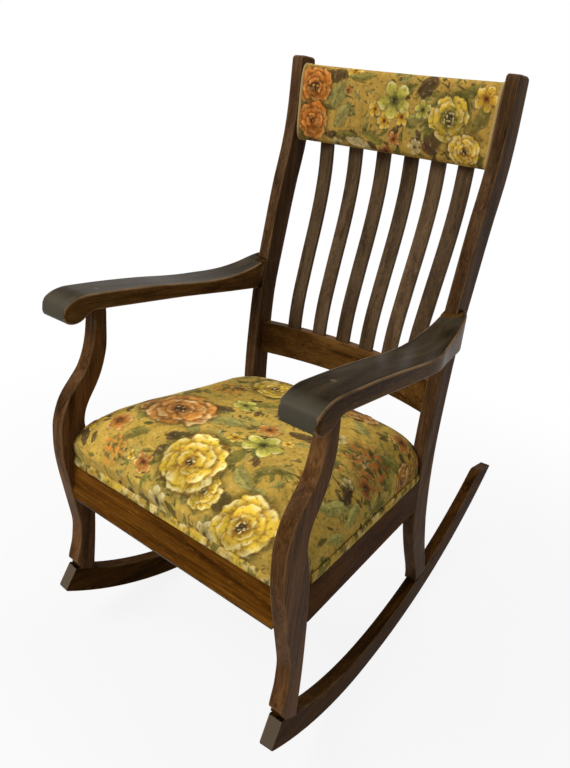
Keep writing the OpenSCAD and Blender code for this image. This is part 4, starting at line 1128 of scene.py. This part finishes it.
def make_straps():
    w, t = STRAP_W / 2, STRAP_T / 2
    section = ((-w, -t), (w, -t), (w, t), (-w, t))
    steps = np.arange(STRAP_N) - (STRAP_N - 1) / 2
    across = steps * STRAP_PITCH[0]
    along = SEAT_C + steps * STRAP_PITCH[1]
    front = span("front_rail", 1)[0] + RAIL_T / 2 - STRAP_END
    rear = REAR_Y - RAIL_T / 2 + STRAP_END
    paths = [strap_path(x, (front, rear), along, True, i) for i, x in enumerate(across)]
    for i, y in enumerate(along):
        reach = side_x(y) - RAIL_T / 2 + STRAP_END
        paths.append(strap_path(y, (-reach, reach), across, False, i))
    points, faces = [], []
    for path in paths:
        more, sides = sweep(path, section, len(points))
        points += list(more)
        faces += sides
    straps = make_mesh("webbing_straps", points, faces,
                       jute("webbing_weave", (0.2, 0.13, 0.06), (0.36, 0.25, 0.12), 500))
    for p in straps.data.polygons:
        p.use_smooth = False
    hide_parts("seat_webbing")


make_straps()

DUST_IN = 4.0
DUST_SAG = 3.0
DUST_T = 0.7
DUST_BEHIND = 32.0
DUST_MID = 190.0
DUST_COLUMNS, DUST_ROWS = 20, 22


def make_dust_cloth():
    """A cloth under the rails, cut out at the legs and hanging a little in the middle."""
    z = span("dust_cover", 2)[0] + DUST_T
    y0, y3 = span("dust_cover", 1)
    y1 = float(post_back_y(np.array([z]))[0]) + DUST_IN
    y2 = WAIST_Y + DUST_BEHIND
    front_w = HALF_W - POST_T - DUST_IN
    rear_w = inner_x(z) - DUST_IN
    wide, narrow = side_x(y1) - DUST_IN, side_x(y2) - DUST_IN
    notch = rear_w * wide / narrow
    xs = sorted([-wide, wide, -front_w, front_w, -notch, notch,
                 *np.linspace(-DUST_MID, DUST_MID, DUST_COLUMNS)])
    ys = [y0, (y0 + y1) / 2, y1, *np.linspace(y1, y2, DUST_ROWS)[1:], (y2 + y3) / 2, y3]
    x, y = [v.ravel() for v in np.meshgrid(xs, ys, indexing="ij")]
    share = np.interp(y, (y1, y2), (1, narrow / wide))
    away = (x / wide) ** 2 + ((y - SEAT_C) / SEAT_R) ** 2
    points = np.stack([x * share, y, z - DUST_SAG * np.clip(1 - away, 0, None)], 1)
    faces = grid_faces(len(xs), len(ys))
    low, high = y[faces].min(1), y[faces].max(1)
    limit = np.where(high <= y1, front_w, np.where(low >= y2, notch, wide))
    faces = faces[np.abs(x[faces]).max(1) <= limit]
    used, faces = np.unique(faces, return_inverse=True)
    cloth = make_mesh("dust_cloth", points[used], faces.reshape(-1, 4),
                      jute("dust_weave", (0.035, 0.03, 0.026), (0.08, 0.072, 0.062), 700))
    modify(cloth, "thickness", "SOLIDIFY", thickness=DUST_T * MM, offset=0)
    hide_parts("dust_cover")


make_dust_cloth()


# Floor and surround: white to the camera, with the object's soft shadow kept near it
FLOOR_HALF = 40.0
FLOOR_Z = -0.0005
FLOOR_GREY = (0.6, 0.6, 0.6, 1)
WHITE = (1, 1, 1, 1)
GLOW_NEAR, GLOW_FAR = 0.88, 1.0
GLOW_FROM, GLOW_TO = 0.5, 1.4
AMBIENT = 0.35
AMBIENT_TONE = (1.0, 0.985, 0.96, 1)


def make_stage():
    bpy.ops.mesh.primitive_plane_add(size=2 * FLOOR_HALF, location=(0, 0, FLOOR_Z))
    floor = bpy.context.object
    floor.name = "floor"
    m = Tree("floor_paint")
    m.set(Base_Color=FLOOR_GREY, Roughness=0.9, Specular_IOR_Level=0.0)
    away = add(m.t, "ShaderNodeVectorMath", m.coord.outputs["Object"], operation="LENGTH").node
    ring = add(m.t, "ShaderNodeMapRange", away.outputs["Value"], GLOW_FROM, GLOW_TO, GLOW_NEAR, GLOW_FAR,
               interpolation_type="SMOOTHSTEP")
    seen = m.math("MULTIPLY", surround_rays(m.t), ring)
    glow = add(m.t, "ShaderNodeEmission", WHITE, 1.0)
    shown = add(m.t, "ShaderNodeMixShader", seen, m.bsdf.outputs[0], glow)
    m.t.links.new(shown, m.out.inputs[0])
    floor.data.materials.append(m.mat)


def make_world():
    """Soft light from all round, seen as white."""
    world = bpy.data.worlds.new("surround")
    scene.world = world
    world.use_nodes = True
    tree = world.node_tree
    tree.nodes.clear()
    soft = add(tree, "ShaderNodeBackground", AMBIENT_TONE, AMBIENT)
    white = add(tree, "ShaderNodeBackground", WHITE, 1.0)
    shown = add(tree, "ShaderNodeMixShader", surround_rays(tree), soft, white)
    tree.links.new(shown, tree.nodes.new("ShaderNodeOutputWorld").inputs[0])


make_stage()
make_world()
